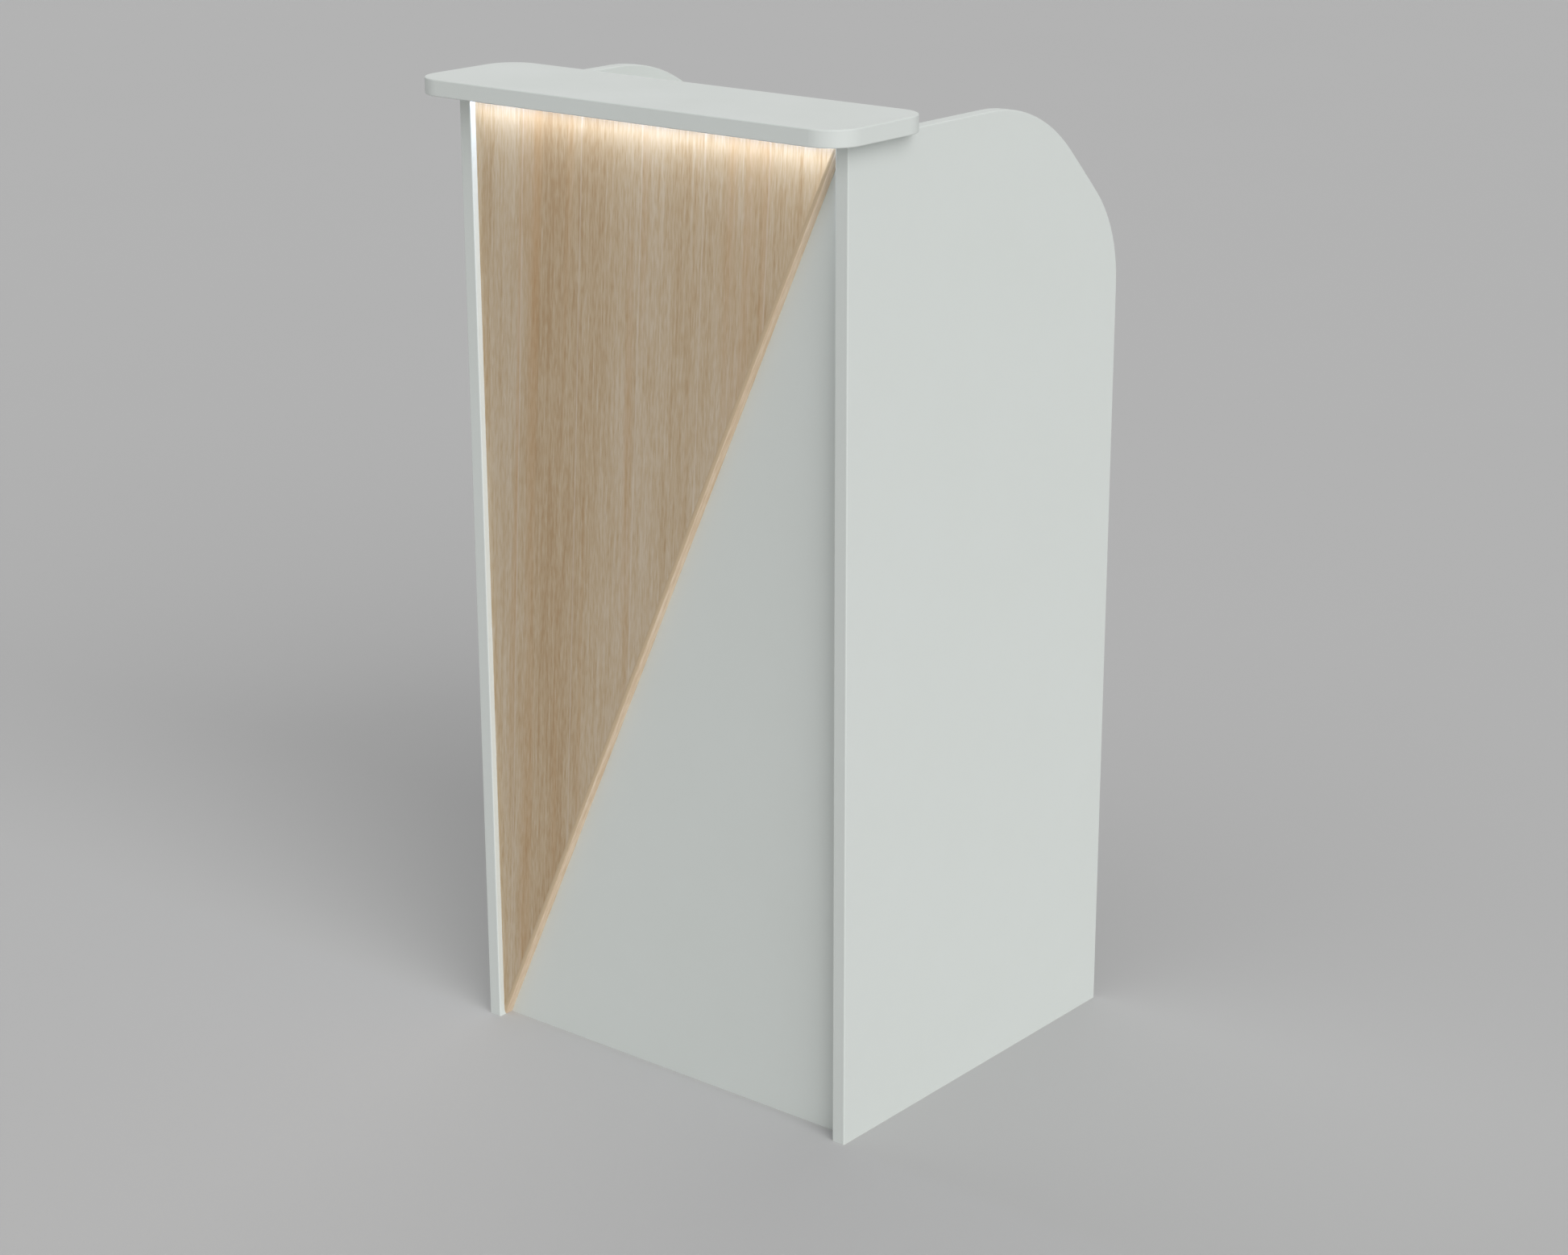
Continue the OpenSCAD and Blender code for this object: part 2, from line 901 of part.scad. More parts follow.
module adjustable_shelf() {
    corners = [
        [shelf_play - wall_x, shelf_y, 0], [wall_x - shelf_play, shelf_y, 0],
        [wall_x - shelf_play, shelf_rear_y, 0], [shelf_play - wall_x, shelf_rear_y, 0]
    ];
    color(pale)
        translate([0, 0, shelf_z])
            rolled_board(corners, board_t, edge_r, [0, 1, 3]);
}

module shelf_pins() {
    color(zinc)
        both_sides()
            for (y = pin_ys)
                translate([wall_x, y, pin_z]) {
                    rotate([0, 90, 0])
                        cylinder(d = pin_d, h = pin_depth);
                    translate([-paddle[0], -paddle[1] / 2, pin_d / 2 - paddle[2]])
                        cube(paddle);
                }
}

module bottom_shelf() {
    corners = [
        [-wall_x, back_y, 0], [wall_x, back_y, 0], [wall_x, bottom_rear_y, 0], [-wall_x, bottom_rear_y, 0]
    ];
    color(pale)
        difference() {
            translate([0, 0, plinth_h])
                rolled_board(corners, board_t, edge_r, [0, 1, 3]);
            both_sides()
                at_cams(bottom_cams())
                    cam_hole();
        }
}

module plinth_board() {
    color(pale)
        difference() {
            translate([-wall_x, plinth_y, 0])
                cube([inner_w, board_t, plinth_h]);
            both_sides()
                at_cams(plinth_cams())
                    cam_hole();
        }
}

// Cam fittings

// Places on the right: the drilled face at the board's end, and the turn that points z into the board
function front_cams() = [for (z = front_cam_zs) [[wall_x, back_y, z], [90, 0, 0]]];
function bottom_cams() = [for (y = bottom_cam_ys) [[wall_x, y, plinth_h], [0, 0, 0]]];
function apron_cams() = [[[wall_x, apron_y, apron_z + apron_h / 4], [-90, 0, 0]]];
function plinth_cams() = [[[wall_x, plinth_y, plinth_h / 2], [-90, 0, 0]]];
function all_cams() = concat(front_cams(), bottom_cams(), apron_cams(), plinth_cams());

module at_cams(places) {
    for (p = places)
        translate(p[0])
            rotate(p[1])
                children();
}

// Cam pocket and the bolt's way in from the board's end
module cam_hole() {
    translate([-cam_set, 0, -over])
        cylinder(d = cam_d + 2 * snug, h = cam_h + over);
    translate([-cam_set, 0, board_t / 2])
        rotate([0, 90, 0])
            cylinder(d = bolt_d + 2 * snug, h = cam_set + over);
}

// Threaded hole in the side panel
module cam_bolt_hole() {
    translate([-over, 0, board_t / 2])
        rotate([0, 90, 0])
            cylinder(d = thread_d + 2 * snug, h = thread_l + over);
}

module cam_lock() {
    translate([-cam_set, 0, 0])
        difference() {
            cylinder(d = cam_d, h = cam_h);
            for (a = [0, 90])
                rotate([0, 0, a])
                    cube([cam_slot[0], cam_slot[1], 2 * cam_slot[2]], center = true);
        }
}

module cam_bolt() {
    shank = cam_set - cam_d / 2 - 2 * snug;
    translate([-shank, 0, board_t / 2])
        rotate([0, 90, 0]) {
            cylinder(d = bolt_d, h = shank);
            cylinder(d = thread_d, h = shank + thread_l);
        }
}

module cam_locks() {
    color(zinc)
        both_sides()
            at_cams(all_cams())
                cam_lock();
}

module cam_bolts() {
    color(zinc)
        both_sides()
            at_cams(all_cams())
                cam_bolt();
}

// Supply

module at_driver_screws() {
    for (side = [-1, 1])
        translate([driver_x + side * ear_x, back_y + ear[2], driver_z])
            rotate([-90, 0, 0])
                children();
}

module inlet_outline() {
    corners = [
        [-inlet_w / 2, -inlet_h / 2, inlet_h / 2 - snug], [inlet_w / 2, -inlet_h / 2, inlet_h / 2 - snug],
        [inlet_w / 2, inlet_h / 2, inlet_h / 2 - snug], [-inlet_w / 2, inlet_h / 2, inlet_h / 2 - snug]
    ];
    outline(corners);
}

module at_inlet() {
    translate([driver_x, back_y + driver_d / 2, driver_z - driver_h / 2])
        children();
}

module led_driver() {
    x = driver_w / 2;
    z = driver_h / 2;
    corners = [
        [-x, -z, driver_corner_r], [x, -z, driver_corner_r], [x, z, driver_corner_r], [-x, z, driver_corner_r]
    ];
    color(dark)
        difference() {
            union() {
                translate([driver_x, back_y + driver_d, driver_z])
                    rotate([90, 0, 0])
                        rolled_board(corners, driver_d, driver_edge_r);
                for (side = [-1, 1])
                    translate([driver_x + side * ear_x - ear[0] / 2, back_y, driver_z - ear[1] / 2])
                        cube([ear[0], ear[2], ear[1]]);
            }
            at_inlet()
                translate([0, 0, -over])
                    linear_extrude(inlet_l + over)
                        inlet_outline();
            at_driver_screws()
                pilot(ear[2] + over);
        }
}

module driver_screws() {
    color(zinc)
        at_driver_screws()
            pan_screw(screw_l);
}

module inlet_pins() {
    color(metal)
        at_inlet()
            for (x = [-inlet_pin_pitch / 2, inlet_pin_pitch / 2])
                translate([x, 0, inlet_pin_set])
                    cylinder(d = inlet_pin_d, h = inlet_l - inlet_pin_set);
}

// Round lead along a route of square turns
module lead(route) {
    last = len(route) - 1;
    for (i = [0:last - 1]) {
        u = unit(route[i + 1] - route[i]);
        start = i == 0 ? route[i] : route[i] + u * lead_bend;
        end = i == last - 1 ? route[i + 1] : route[i + 1] - u * lead_bend;
        bar(start, u, norm(end - start));
        if (i < last - 1)
            elbow(route[i + 1], u, unit(route[i + 2] - route[i + 1]));
    }
}

module bar(start, u, l) {
    translate(start)
        rotate([0, acos(u[2]), atan2(u[1], u[0])])
            cylinder(d = lead_d, h = l);
}

module elbow(corner, u, v) {
    centre = corner + (v - u) * lead_bend;
    w = cross(u, v);
    multmatrix([
        [-v[0], u[0], w[0], centre[0]],
        [-v[1], u[1], w[1], centre[1]],
        [-v[2], u[2], w[2], centre[2]],
        [0, 0, 0, 1]
    ])
        rotate_extrude(angle = 90)
            translate([lead_bend, 0])
                circle(d = lead_d);
}

module led_lead() {
    color(lead_grey)
        lead(led_route);
}

module switch_lead() {
    color(lead_grey)
        lead(switch_route);
}

// Saddle clip: the lead runs along Z, the board lies below y = 0
module clip() {
    arch_r = lead_d / 2 + clip_wall;
    translate([0, 0, -clip_l / 2])
        linear_extrude(clip_l)
            difference() {
                union() {
                    translate([-clip_foot[0] / 2, 0])
                        square(clip_foot);
                    translate([-arch_r, 0])
                        square([2 * arch_r, lead_off]);
                    translate([0, lead_off])
                        circle(arch_r);
                }
                translate([0, lead_off])
                    circle(d = lead_d + 2 * snug);
            }
}

module lead_clips() {
    led_run = driver_x - driver_w / 2 - lead_x;
    rise = panel_h - lead_z;
    switch_run = wall_x - driver_x - driver_w / 2;
    wall_run = switch_turn_y - back_y;
    color(dark) {
        for (k = [1:clip_spots - 1])
            translate([lead_x + led_run * k / clip_spots, back_y, lead_z])
                rotate([0, 90, 0])
                    clip();
        for (k = [1:clip_spots - 1])
            translate([lead_x, back_y, lead_z + rise * k / clip_spots])
                clip();
        translate([driver_x + driver_w / 2 + switch_run / 2, back_y, lead_z])
            rotate([0, 90, 0])
                clip();
        for (k = [1:clip_spots])
            translate([wall_x, back_y + wall_run * k / (clip_spots + 1), lead_z])
                rotate([0, 0, 90])
                    rotate([0, 90, 0])
                        clip();
    }
}

// Switch

module switch_housing() {
    pocket = [rocker_w + 2 * turning_gap, pocket_depth + over, 2 * (rocker_r + turning_gap)];
    color(dark)
        difference() {
            union() {
                translate([switch_x, switch_back_y, switch_z])
                    rotate([-90, 0, 0])
                        cylinder(d = switch_d, h = apron_y + board_t - switch_back_y);
                translate([switch_x, apron_y + board_t, switch_z])
                    rotate([-90, 0, 0])
                        cylinder(d = switch_flange_d, h = switch_flange_t);
            }
            translate([switch_x - pocket[0] / 2, switch_face_y - pocket_depth, switch_z - pocket[2] / 2])
                cube(pocket);
            pivot_pins(pivot_d + 2 * snug, turning_gap);
        }
}

// Pins on the rocker's pivot axis, both ends in one bar that the rocker's body covers
module pivot_pins(d, extra) {
    l = rocker_w + 2 * (pivot_l + extra);
    translate([switch_x - l / 2, pivot_y, switch_z])
        rotate([0, 90, 0])
            cylinder(d = d, h = l);
}

// Rocker in its on position: the upper half pressed flush
module switch_rocker() {
    rise = rocker_r * tan(rocker_tilt);
    color(dark)
        union() {
            translate([switch_x - rocker_w / 2, pivot_y, switch_z])
                rotate([rocker_tilt, 0, 0])
                    rotate([90, 0, 90])
                        linear_extrude(rocker_w)
                            intersection() {
                                circle(rocker_r);
                                polygon([
                                    [-rocker_back, -rocker_r], [rocker_lift + rise, -rocker_r],
                                    [rocker_lift, 0],
                                    [rocker_lift + rise, rocker_r], [-rocker_back, rocker_r]
                                ]);
                            }
            pivot_pins(pivot_d, 0);
        }
}

module switch_terminals() {
    color(metal)
        for (x = [-tab_pitch / 2, tab_pitch / 2])
            translate([switch_x + x - tab[0] / 2, switch_back_y - tab[1], switch_z - tab[2] / 2])
                cube(tab);
}

// Levelling feet

module at_foot_screws() {
    for (y = foot_ys, side = [-1, 1])
        translate([wall_x - hub_plate, y + side * hub_screw_y, hub_z + hub_h / 2])
            rotate([0, -90, 0])
                children();
}

module foot_brackets() {
    color(dark)
        both_sides()
            difference() {
                for (y = foot_ys)
                    translate([wall_x - foot_side, y, hub_z]) {
                        cylinder(r = hub_r, h = hub_h);
                        translate([0, -hub_r, 0])
                            cube([foot_side, 2 * hub_r, hub_h]);
                        translate([foot_side - hub_plate, -hub_plate_w / 2, 0])
                            cube([hub_plate, hub_plate_w, hub_h]);
                    }
                for (y = foot_ys)
                    translate([wall_x - foot_side, y, hub_z - over])
                        cylinder(d = stem_d + 2 * snug, h = hub_h + 2 * over);
                at_foot_screws()
                    pilot(hub_plate + over);
            }
}

module foot_bracket_screws() {
    color(zinc)
        both_sides()
            at_foot_screws()
                pan_screw(screw_l);
}

// Foot at the right or left and at the front or rear, standing on the floor
module levelling_foot(side, y) {
    color(dark)
        translate([side * (wall_x - foot_side), y, 0])
            union() {
                rotate_extrude()
                    polygon([
                        [0, 0], [foot_d / 2 - foot_chamfer, 0], [foot_d / 2, foot_chamfer],
                        [foot_d / 2, foot_base_h], [foot_nut_d / 2, foot_neck_z], [stem_d / 2, foot_neck_z],
                        [stem_d / 2, stem_top - foot_chamfer], [stem_d / 2 - foot_chamfer, stem_top],
                        [0, stem_top]
                    ]);
                translate([0, 0, foot_neck_z])
                    cylinder(d = foot_nut_d, h = foot_nut_top - foot_neck_z, $fn = 6);
            }
}

module levelling_foot_front_left() {
    levelling_foot(-1, foot_ys[0]);
}

module levelling_foot_front_right() {
    levelling_foot(1, foot_ys[0]);
}

module levelling_foot_rear_left() {
    levelling_foot(-1, foot_ys[1]);
}

module levelling_foot_rear_right() {
    levelling_foot(1, foot_ys[1]);
}

left_side_panel();
right_side_panel();
front_panel();
oak_facing();
oak_edge_band();
top_ledge();
ledge_dowels();
ledge_brackets();
bracket_screws();
facing_screws();
led_profile();
led_tape();
led_diffuser();
led_end_caps();
reading_desk();
paper_stop();
apron_rail();
desk_cleats();
cleat_screws();
cable_grommet();
grommet_cap();
adjustable_shelf();
shelf_pins();
bottom_shelf();
plinth_board();
cam_locks();
cam_bolts();
led_driver();
driver_screws();
inlet_pins();
led_lead();
switch_lead();
lead_clips();
switch_housing();
switch_rocker();
switch_terminals();
foot_brackets();
foot_bracket_screws();
levelling_foot_front_left();
levelling_foot_front_right();
levelling_foot_rear_left();
levelling_foot_rear_right();
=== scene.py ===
import json
import math

import bmesh
import bpy
from bpy.props import FloatProperty, FloatVectorProperty, IntProperty, PointerProperty
from mathutils import Matrix, Vector


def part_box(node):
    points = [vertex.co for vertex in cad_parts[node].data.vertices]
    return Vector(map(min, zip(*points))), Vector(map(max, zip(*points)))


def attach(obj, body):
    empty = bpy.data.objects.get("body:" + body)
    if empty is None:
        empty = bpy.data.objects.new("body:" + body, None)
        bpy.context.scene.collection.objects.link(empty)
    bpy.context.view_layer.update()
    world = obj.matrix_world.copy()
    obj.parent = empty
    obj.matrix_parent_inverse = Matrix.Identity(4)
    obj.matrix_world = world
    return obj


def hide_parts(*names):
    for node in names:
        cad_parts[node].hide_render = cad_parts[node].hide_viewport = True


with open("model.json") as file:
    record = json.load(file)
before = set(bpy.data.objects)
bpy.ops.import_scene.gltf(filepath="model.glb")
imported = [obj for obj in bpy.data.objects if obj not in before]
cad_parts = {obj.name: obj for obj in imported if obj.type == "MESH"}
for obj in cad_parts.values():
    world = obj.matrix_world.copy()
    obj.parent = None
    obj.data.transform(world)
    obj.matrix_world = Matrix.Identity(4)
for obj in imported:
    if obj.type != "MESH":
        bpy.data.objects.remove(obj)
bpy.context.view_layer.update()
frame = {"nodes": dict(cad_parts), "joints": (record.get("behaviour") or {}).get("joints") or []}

bl_info = {
    "name": "Presentation lectern",
    "version": (1, 0, 0),
    "blender": (4, 5, 0),
    "location": "View3D > Sidebar > Lectern",
    "description": "Finishes, fittings and studio of a presentation lectern with a lit oak front",
    "category": "Object",
}

MM = 0.001
NODES = frame["nodes"]

# sockets of a Mix node that mixes colours
MIX_A, MIX_B, MIX_OUT = 6, 7, 2
# the socket that each kind of value gets in a Geometry Nodes tree
SOCKETS = {float: "NodeSocketFloat", int: "NodeSocketInt", bpy.types.Material: "NodeSocketMaterial"}

# faces round the turned pieces, the marks and the floor
HEAD_SIDES, SHANK_SIDES = 32, 16
PAD_SIDES, NUT_SIDES, STEM_SIDES = 48, 6, 24
THREAD_STEPS, THREAD_SIDES = 20, 4
RIB_SIDES, RING_SIDES, FLOOR_SIDES = 12, 32, 96

# spacing of the lamps on the LED tape
LAMP_STEP = 10 * MM
# width and start of a leaf of oak so wide that no joint falls on the piece
UNJOINTED = (5.0, 2.5)


def linear(code):
    """An sRGB hex colour as linear red, green and blue."""
    parts = [int(code[i:i + 2], 16) / 255 for i in (1, 3, 5)]
    return tuple(p / 12.92 if p <= 0.04045 else ((p + 0.055) / 1.055) ** 2.4 for p in parts)


def add(tree, kind, inputs=None, **settings):
    """Adds a node, makes its settings, and fills its inputs with values or links from other nodes."""
    made = tree.nodes.new(kind)
    for name, value in settings.items():
        setattr(made, name, value)
    for key, value in (inputs or {}).items():
        if isinstance(value, bpy.types.NodeSocket):
            tree.links.new(value, made.inputs[key])
        else:
            made.inputs[key].default_value = value
    return made


def colour(name, code, note):
    """A colour property with an sRGB hex default."""
    return FloatVectorProperty(
        name=name, description=note, subtype="COLOR", size=3, min=0, max=1, default=linear(code)
    )


def length(name, mm, note):
    """A length property with its default in millimetres."""
    return FloatProperty(name=name, description=note, default=mm * MM, min=0, unit="LENGTH", precision=4)


def angle(name, degrees, note):
    """An angle property with its default in degrees."""
    return FloatProperty(name=name, description=note, default=math.radians(degrees), subtype="ANGLE")


def amount(name, value, note, unit="NONE"):
    """A number property that doesn't go below zero."""
    return FloatProperty(name=name, description=note, default=value, min=0, unit=unit)


def direction(name, value, note):
    """A property that gives where a light comes from."""
    return FloatVectorProperty(name=name, description=note, default=value, size=3, subtype="DIRECTION")


class LecternFinishes(bpy.types.PropertyGroup):
    """Colours of the lectern's finishes."""

    board: colour("Board", "#dee3e0", "Satin lacquer of the pale boards")
    board_shade: colour("Board, shaded", "#dbe0dc", "Thinner places in the lacquer")
    oak_light: colour("Oak, light", "#cdbda6", "Pale early wood of the oak front")
    oak_mid: colour("Oak, middle", "#c3ae90", "Middle tone of the oak front")
    oak_dark: colour("Oak, dark", "#b49875", "Late wood of the oak front")
    oak_streak: colour("Oak, streaks", "#bd9465", "Narrow tan streaks in the oak front")
    # the edge band's two tones are its oak wood painted paler than the oak front: painted light that stands in
    # for the light its diagonal edge catches
    band_pale_with_painted_light: colour("Edge band, light", "#eddac3", "Pale wood of the edge band")
    band_dark_with_painted_light: colour("Edge band, dark", "#d3b796", "Dark wood of the edge band")
    beech: colour("Beech", "#d8bf95", "Planed beech of cleats and dowels")
    zinc: colour("Zinc plate", "#b9bdc2", "Bright zinc plate on steel")
    aluminium: colour("Aluminium", "#cbccce", "Satin anodised profile")
    plastic: colour("Black plastic", "#1f2022", "Moulded grommet, switch, driver and feet")
    sheath: colour("Lead sheath", "#dcdcd8", "Soft sheath of the leads")
    ink: colour("Ink", "#e9e9e6", "Printed marks on the rocker")
    opal: colour("Opal", "#f7f4f0", "Diffuser over the lamps")
    opal_warm: colour("Opal, warm", "#f3ece0", "Diffuser between the lamps")
    tape: colour("Tape", "#efece2", "Solder mask of the LED tape")
    phosphor: colour("Phosphor", "#e8c85a", "Lamps on the LED tape")


class LecternGrain(bpy.types.PropertyGroup):
    """Lay of the oak veneer."""

    lean: angle("Grain lean", 3.3, "How far the grain leans from upright")
    leaf_w: length("Leaf width", 93.5, "Width of one leaf of veneer")
    leaf_start: length("Leaf start", 77, "How far the first joint lies left of the middle")


class LecternScrews(bpy.types.PropertyGroup):
    """Sizes of the pan head wood screws."""

    head_r: length("Head radius", 4.0, "Radius of the head")
    crown_r: length("Crown radius", 2.4, "Radius of the flat top of the head")
    drum_h: length("Drum height", 1.2, "Height of the upright wall of the head")
    crown_h: length("Crown height", 1.2, "Height of the sloping part of the head")
    core_r: length("Core radius", 1.45, "Radius of the shank under the thread")
    ridge: length("Thread ridge", 0.5, "Height of the thread")
    pitch: length("Thread pitch", 1.8, "Rise of the thread in one turn")
    tip: length("Tip", 4.0, "Length of the pointed end")
    slot_w: length("Recess width", 0.9, "Width of one slot of the cross recess")
    slot_l: length("Recess length", 4.4, "Length of one slot of the cross recess")
    slot_d: length("Recess depth", 1.3, "Depth of the cross recess")
    seed: IntProperty(name="Seed", description="Seed for how far each screw is turned in", default=7)


class LecternFeet(bpy.types.PropertyGroup):
    """Sizes of the screw-in levelling feet."""

    pad_r: length("Pad radius", 18.0, "Radius of the pad on the floor")
    pad_h: length("Pad height", 5.0, "Height of the upright wall of the pad")
    chamfer: length("Chamfer", 1.0, "Chamfer at the pad's lower edge and the stem's end")
    neck_z: length("Neck height", 9.0, "Height of the pad's sloping top")
    nut_r: length("Nut radius", 9.5, "Radius of the hexagon over its corners")
    nut_z: length("Nut top", 15.0, "Height of the hexagon's top above the floor")
    stem_r: length("Stem radius", 5.0, "Radius of the stem over its thread")
    stem_z: length("Stem top", 66.0, "Height of the stem's end above the floor")
    ridge: length("Thread ridge", 0.8, "Height of the thread")
    pitch: length("Thread pitch", 1.75, "Rise of the thread in one turn")


class LecternMarks(bpy.types.PropertyGroup):
    """Sizes of the rocker's on and off marks."""

    slope: angle("Face slope", 9, "Slope of the rocker's two faces, and how far it is tipped at rest")
    rise: length("Face rise", 3.0, "Height of the line where the faces meet, above the pivot")
    out: length("Mark distance", 3.7, "Distance of each mark from that line")
    reach: length("Mark radius", 1.6, "Outer radius of the ring, and half the length of the bar")
    hole: length("Ring hole", 1.0, "Inner radius of the ring")
    bar_w: length("Bar width", 0.7, "Width of the bar")
    proud: length("Mark height", 0.06, "Height of the marks above the faces")


class LecternRibs(bpy.types.PropertyGroup):
    """Sizes of the driver's cooling ribs."""

    count: IntProperty(name="Rib count", description="How many ribs stand in the row", default=17, min=1)
    pitch: length("Rib pitch", 6.0, "Distance from one rib to the next")
    radius: length("Rib radius", 0.9, "How far a rib stands out")
    margin: length("Rib margin", 7.0, "Plain part of the case above and below the ribs")


class LecternStudio(bpy.types.PropertyGroup):
    """Light, floor and camera."""

    glow: colour("Glow", "#fffaf4", "Colour of the lit diffuser")
    glow_strength: amount("Glow strength", 4.0, "Brightness of the diffuser")
    beam: colour("Beam", "#f4f8fb", "Colour of the narrow beam down the oak")
    beam_power: amount("Beam power", 0.195, "Power of the narrow beam", "POWER")
    beam_spread: angle("Beam spread", 55, "Width of the narrow beam")
    beam_out: length("Beam distance", 7.2, "How far from the oak the narrow beam starts")
    wash: colour("Wash", "#c4d8ff", "Colour of the wide wash of light close to the ledge")
    wash_power: amount("Wash power", 0.31, "Power of the wide wash", "POWER")
    wash_spread: angle("Wash spread", 180, "Width of the wide wash")
    strip_w: length("Strip width", 1.0, "Width of the strips that give the beam and the wash")
    strip_drop: length("Strip drop", 0.5, "How far the strips lie under the diffuser")
    sky: colour("Sky", "#939393", "Even light from all round")
    backdrop: colour("Backdrop", "#b3b3b3", "What is seen past the floor's far edge, also in reflections")
    floor: colour("Floor", "#c6c6c6", "Studio floor")
    floor_r: length("Floor radius", 60000, "Radius of the studio floor")
    key_strength: amount("Key strength", 1.71, "Strength of the soft key light")
    key_from: direction("Key from", (0.81, -0.36, 0.46), "Where the soft key light comes from")
    key_spread: angle("Key spread", 45, "Softness of the soft key light")
    front_strength: amount("Front strength", 0.51, "Strength of the broad front light")
    front_from: direction("Front from", (0.2, -0.6, 0.75), "Where the broad front light comes from")
    front_spread: angle("Front spread", 90, "Softness of the broad front light")
    back_strength: amount("Back strength", 0.62, "Strength of the broad back light")
    back_from: direction("Back from", (-0.6, 0.5, 0.6), "Where the broad back light comes from")
    back_spread: angle("Back spread", 70, "Softness of the broad back light")
    camera_at: FloatVectorProperty(
        name="Camera", description="Place of the camera", subtype="TRANSLATION", unit="LENGTH", size=3,
        default=(2.3795, -2.9131, 1.7741)
    )
    azimuth: angle("Azimuth", 39.167, "Turn of the camera round the lectern")
    elevation: angle("Elevation", 18.331, "Downward tilt of the camera")
    roll: angle("Roll", -0.12, "Sideways lean of the camera")
    lens: amount("Lens", 72.61, "Focal length of the camera on its 36 mm sensor", "CAMERA")


def rgba(tint):
    return (*tint, 1.0)


def halfway(one, other):
    return tuple((a + b) / 2 for a, b in zip(one, other))


def shaded(tint, share):
    return tuple(share * c for c in tint)


def new_material(name):
    """A material with an empty node tree: the material, that tree, and Object coordinates."""
    made = bpy.data.materials.new(name)
    made.use_nodes = True
    tree = made.node_tree
    tree.nodes.clear()
    return made, tree, add(tree, "ShaderNodeTexCoord").outputs["Object"]


def close_material(tree, inputs):
    """Ends a material's tree in a Principled shader with these inputs."""
    shader = add(tree, "ShaderNodeBsdfPrincipled", inputs)
    add(tree, "ShaderNodeOutputMaterial", {"Surface": shader.outputs["BSDF"]})


def clouded(tree, pattern, tint, other, gloss):
    """A shader's colour and roughness, where a pattern leads from one tint and gloss to the other."""
    share = pattern.outputs["Fac"]
    tone = add(
        tree, "ShaderNodeMix", {"Factor": share, MIX_A: rgba(tint), MIX_B: rgba(other)}, data_type="RGBA"
    )
    sheen = add(
        tree, "ShaderNodeMapRange",
        {"Value": share, "From Min": 0.3, "From Max": 0.7, "To Min": gloss[0], "To Max": gloss[1]}
    )
    return {"Base Color": tone.outputs[MIX_OUT], "Roughness": sheen.outputs["Result"]}


def satin_lacquer(look):
    """Satin lacquer sprayed on fibreboard: an even pale coat whose fine orange peel only breaks the sheen."""
    made, tree, place = new_material("satin_lacquer_on_fibreboard")
    # spray passes leave clouds about a hand wide, and the lacquer dries with an orange peel of 2 mm
    cloud_w, peel_w, peel_depth = 120 * MM, 2 * MM, 0.1 * MM
    cloud = add(
        tree, "ShaderNodeTexNoise", {"Vector": place, "Scale": 1 / cloud_w, "Detail": 3.0, "Roughness": 0.6}
    )
    coat = clouded(tree, cloud, look.board, look.board_shade, (0.46, 0.54))
    peel = add(tree, "ShaderNodeTexNoise", {"Vector": place, "Scale": 1 / peel_w, "Detail": 1.0})
    bump = add(
        tree, "ShaderNodeBump", {"Height": peel.outputs["Fac"], "Strength": 0.06, "Distance": peel_depth}
    )
    close_material(tree, {**coat, "Normal": bump.outputs["Normal"], "IOR": 1.45})
    return made


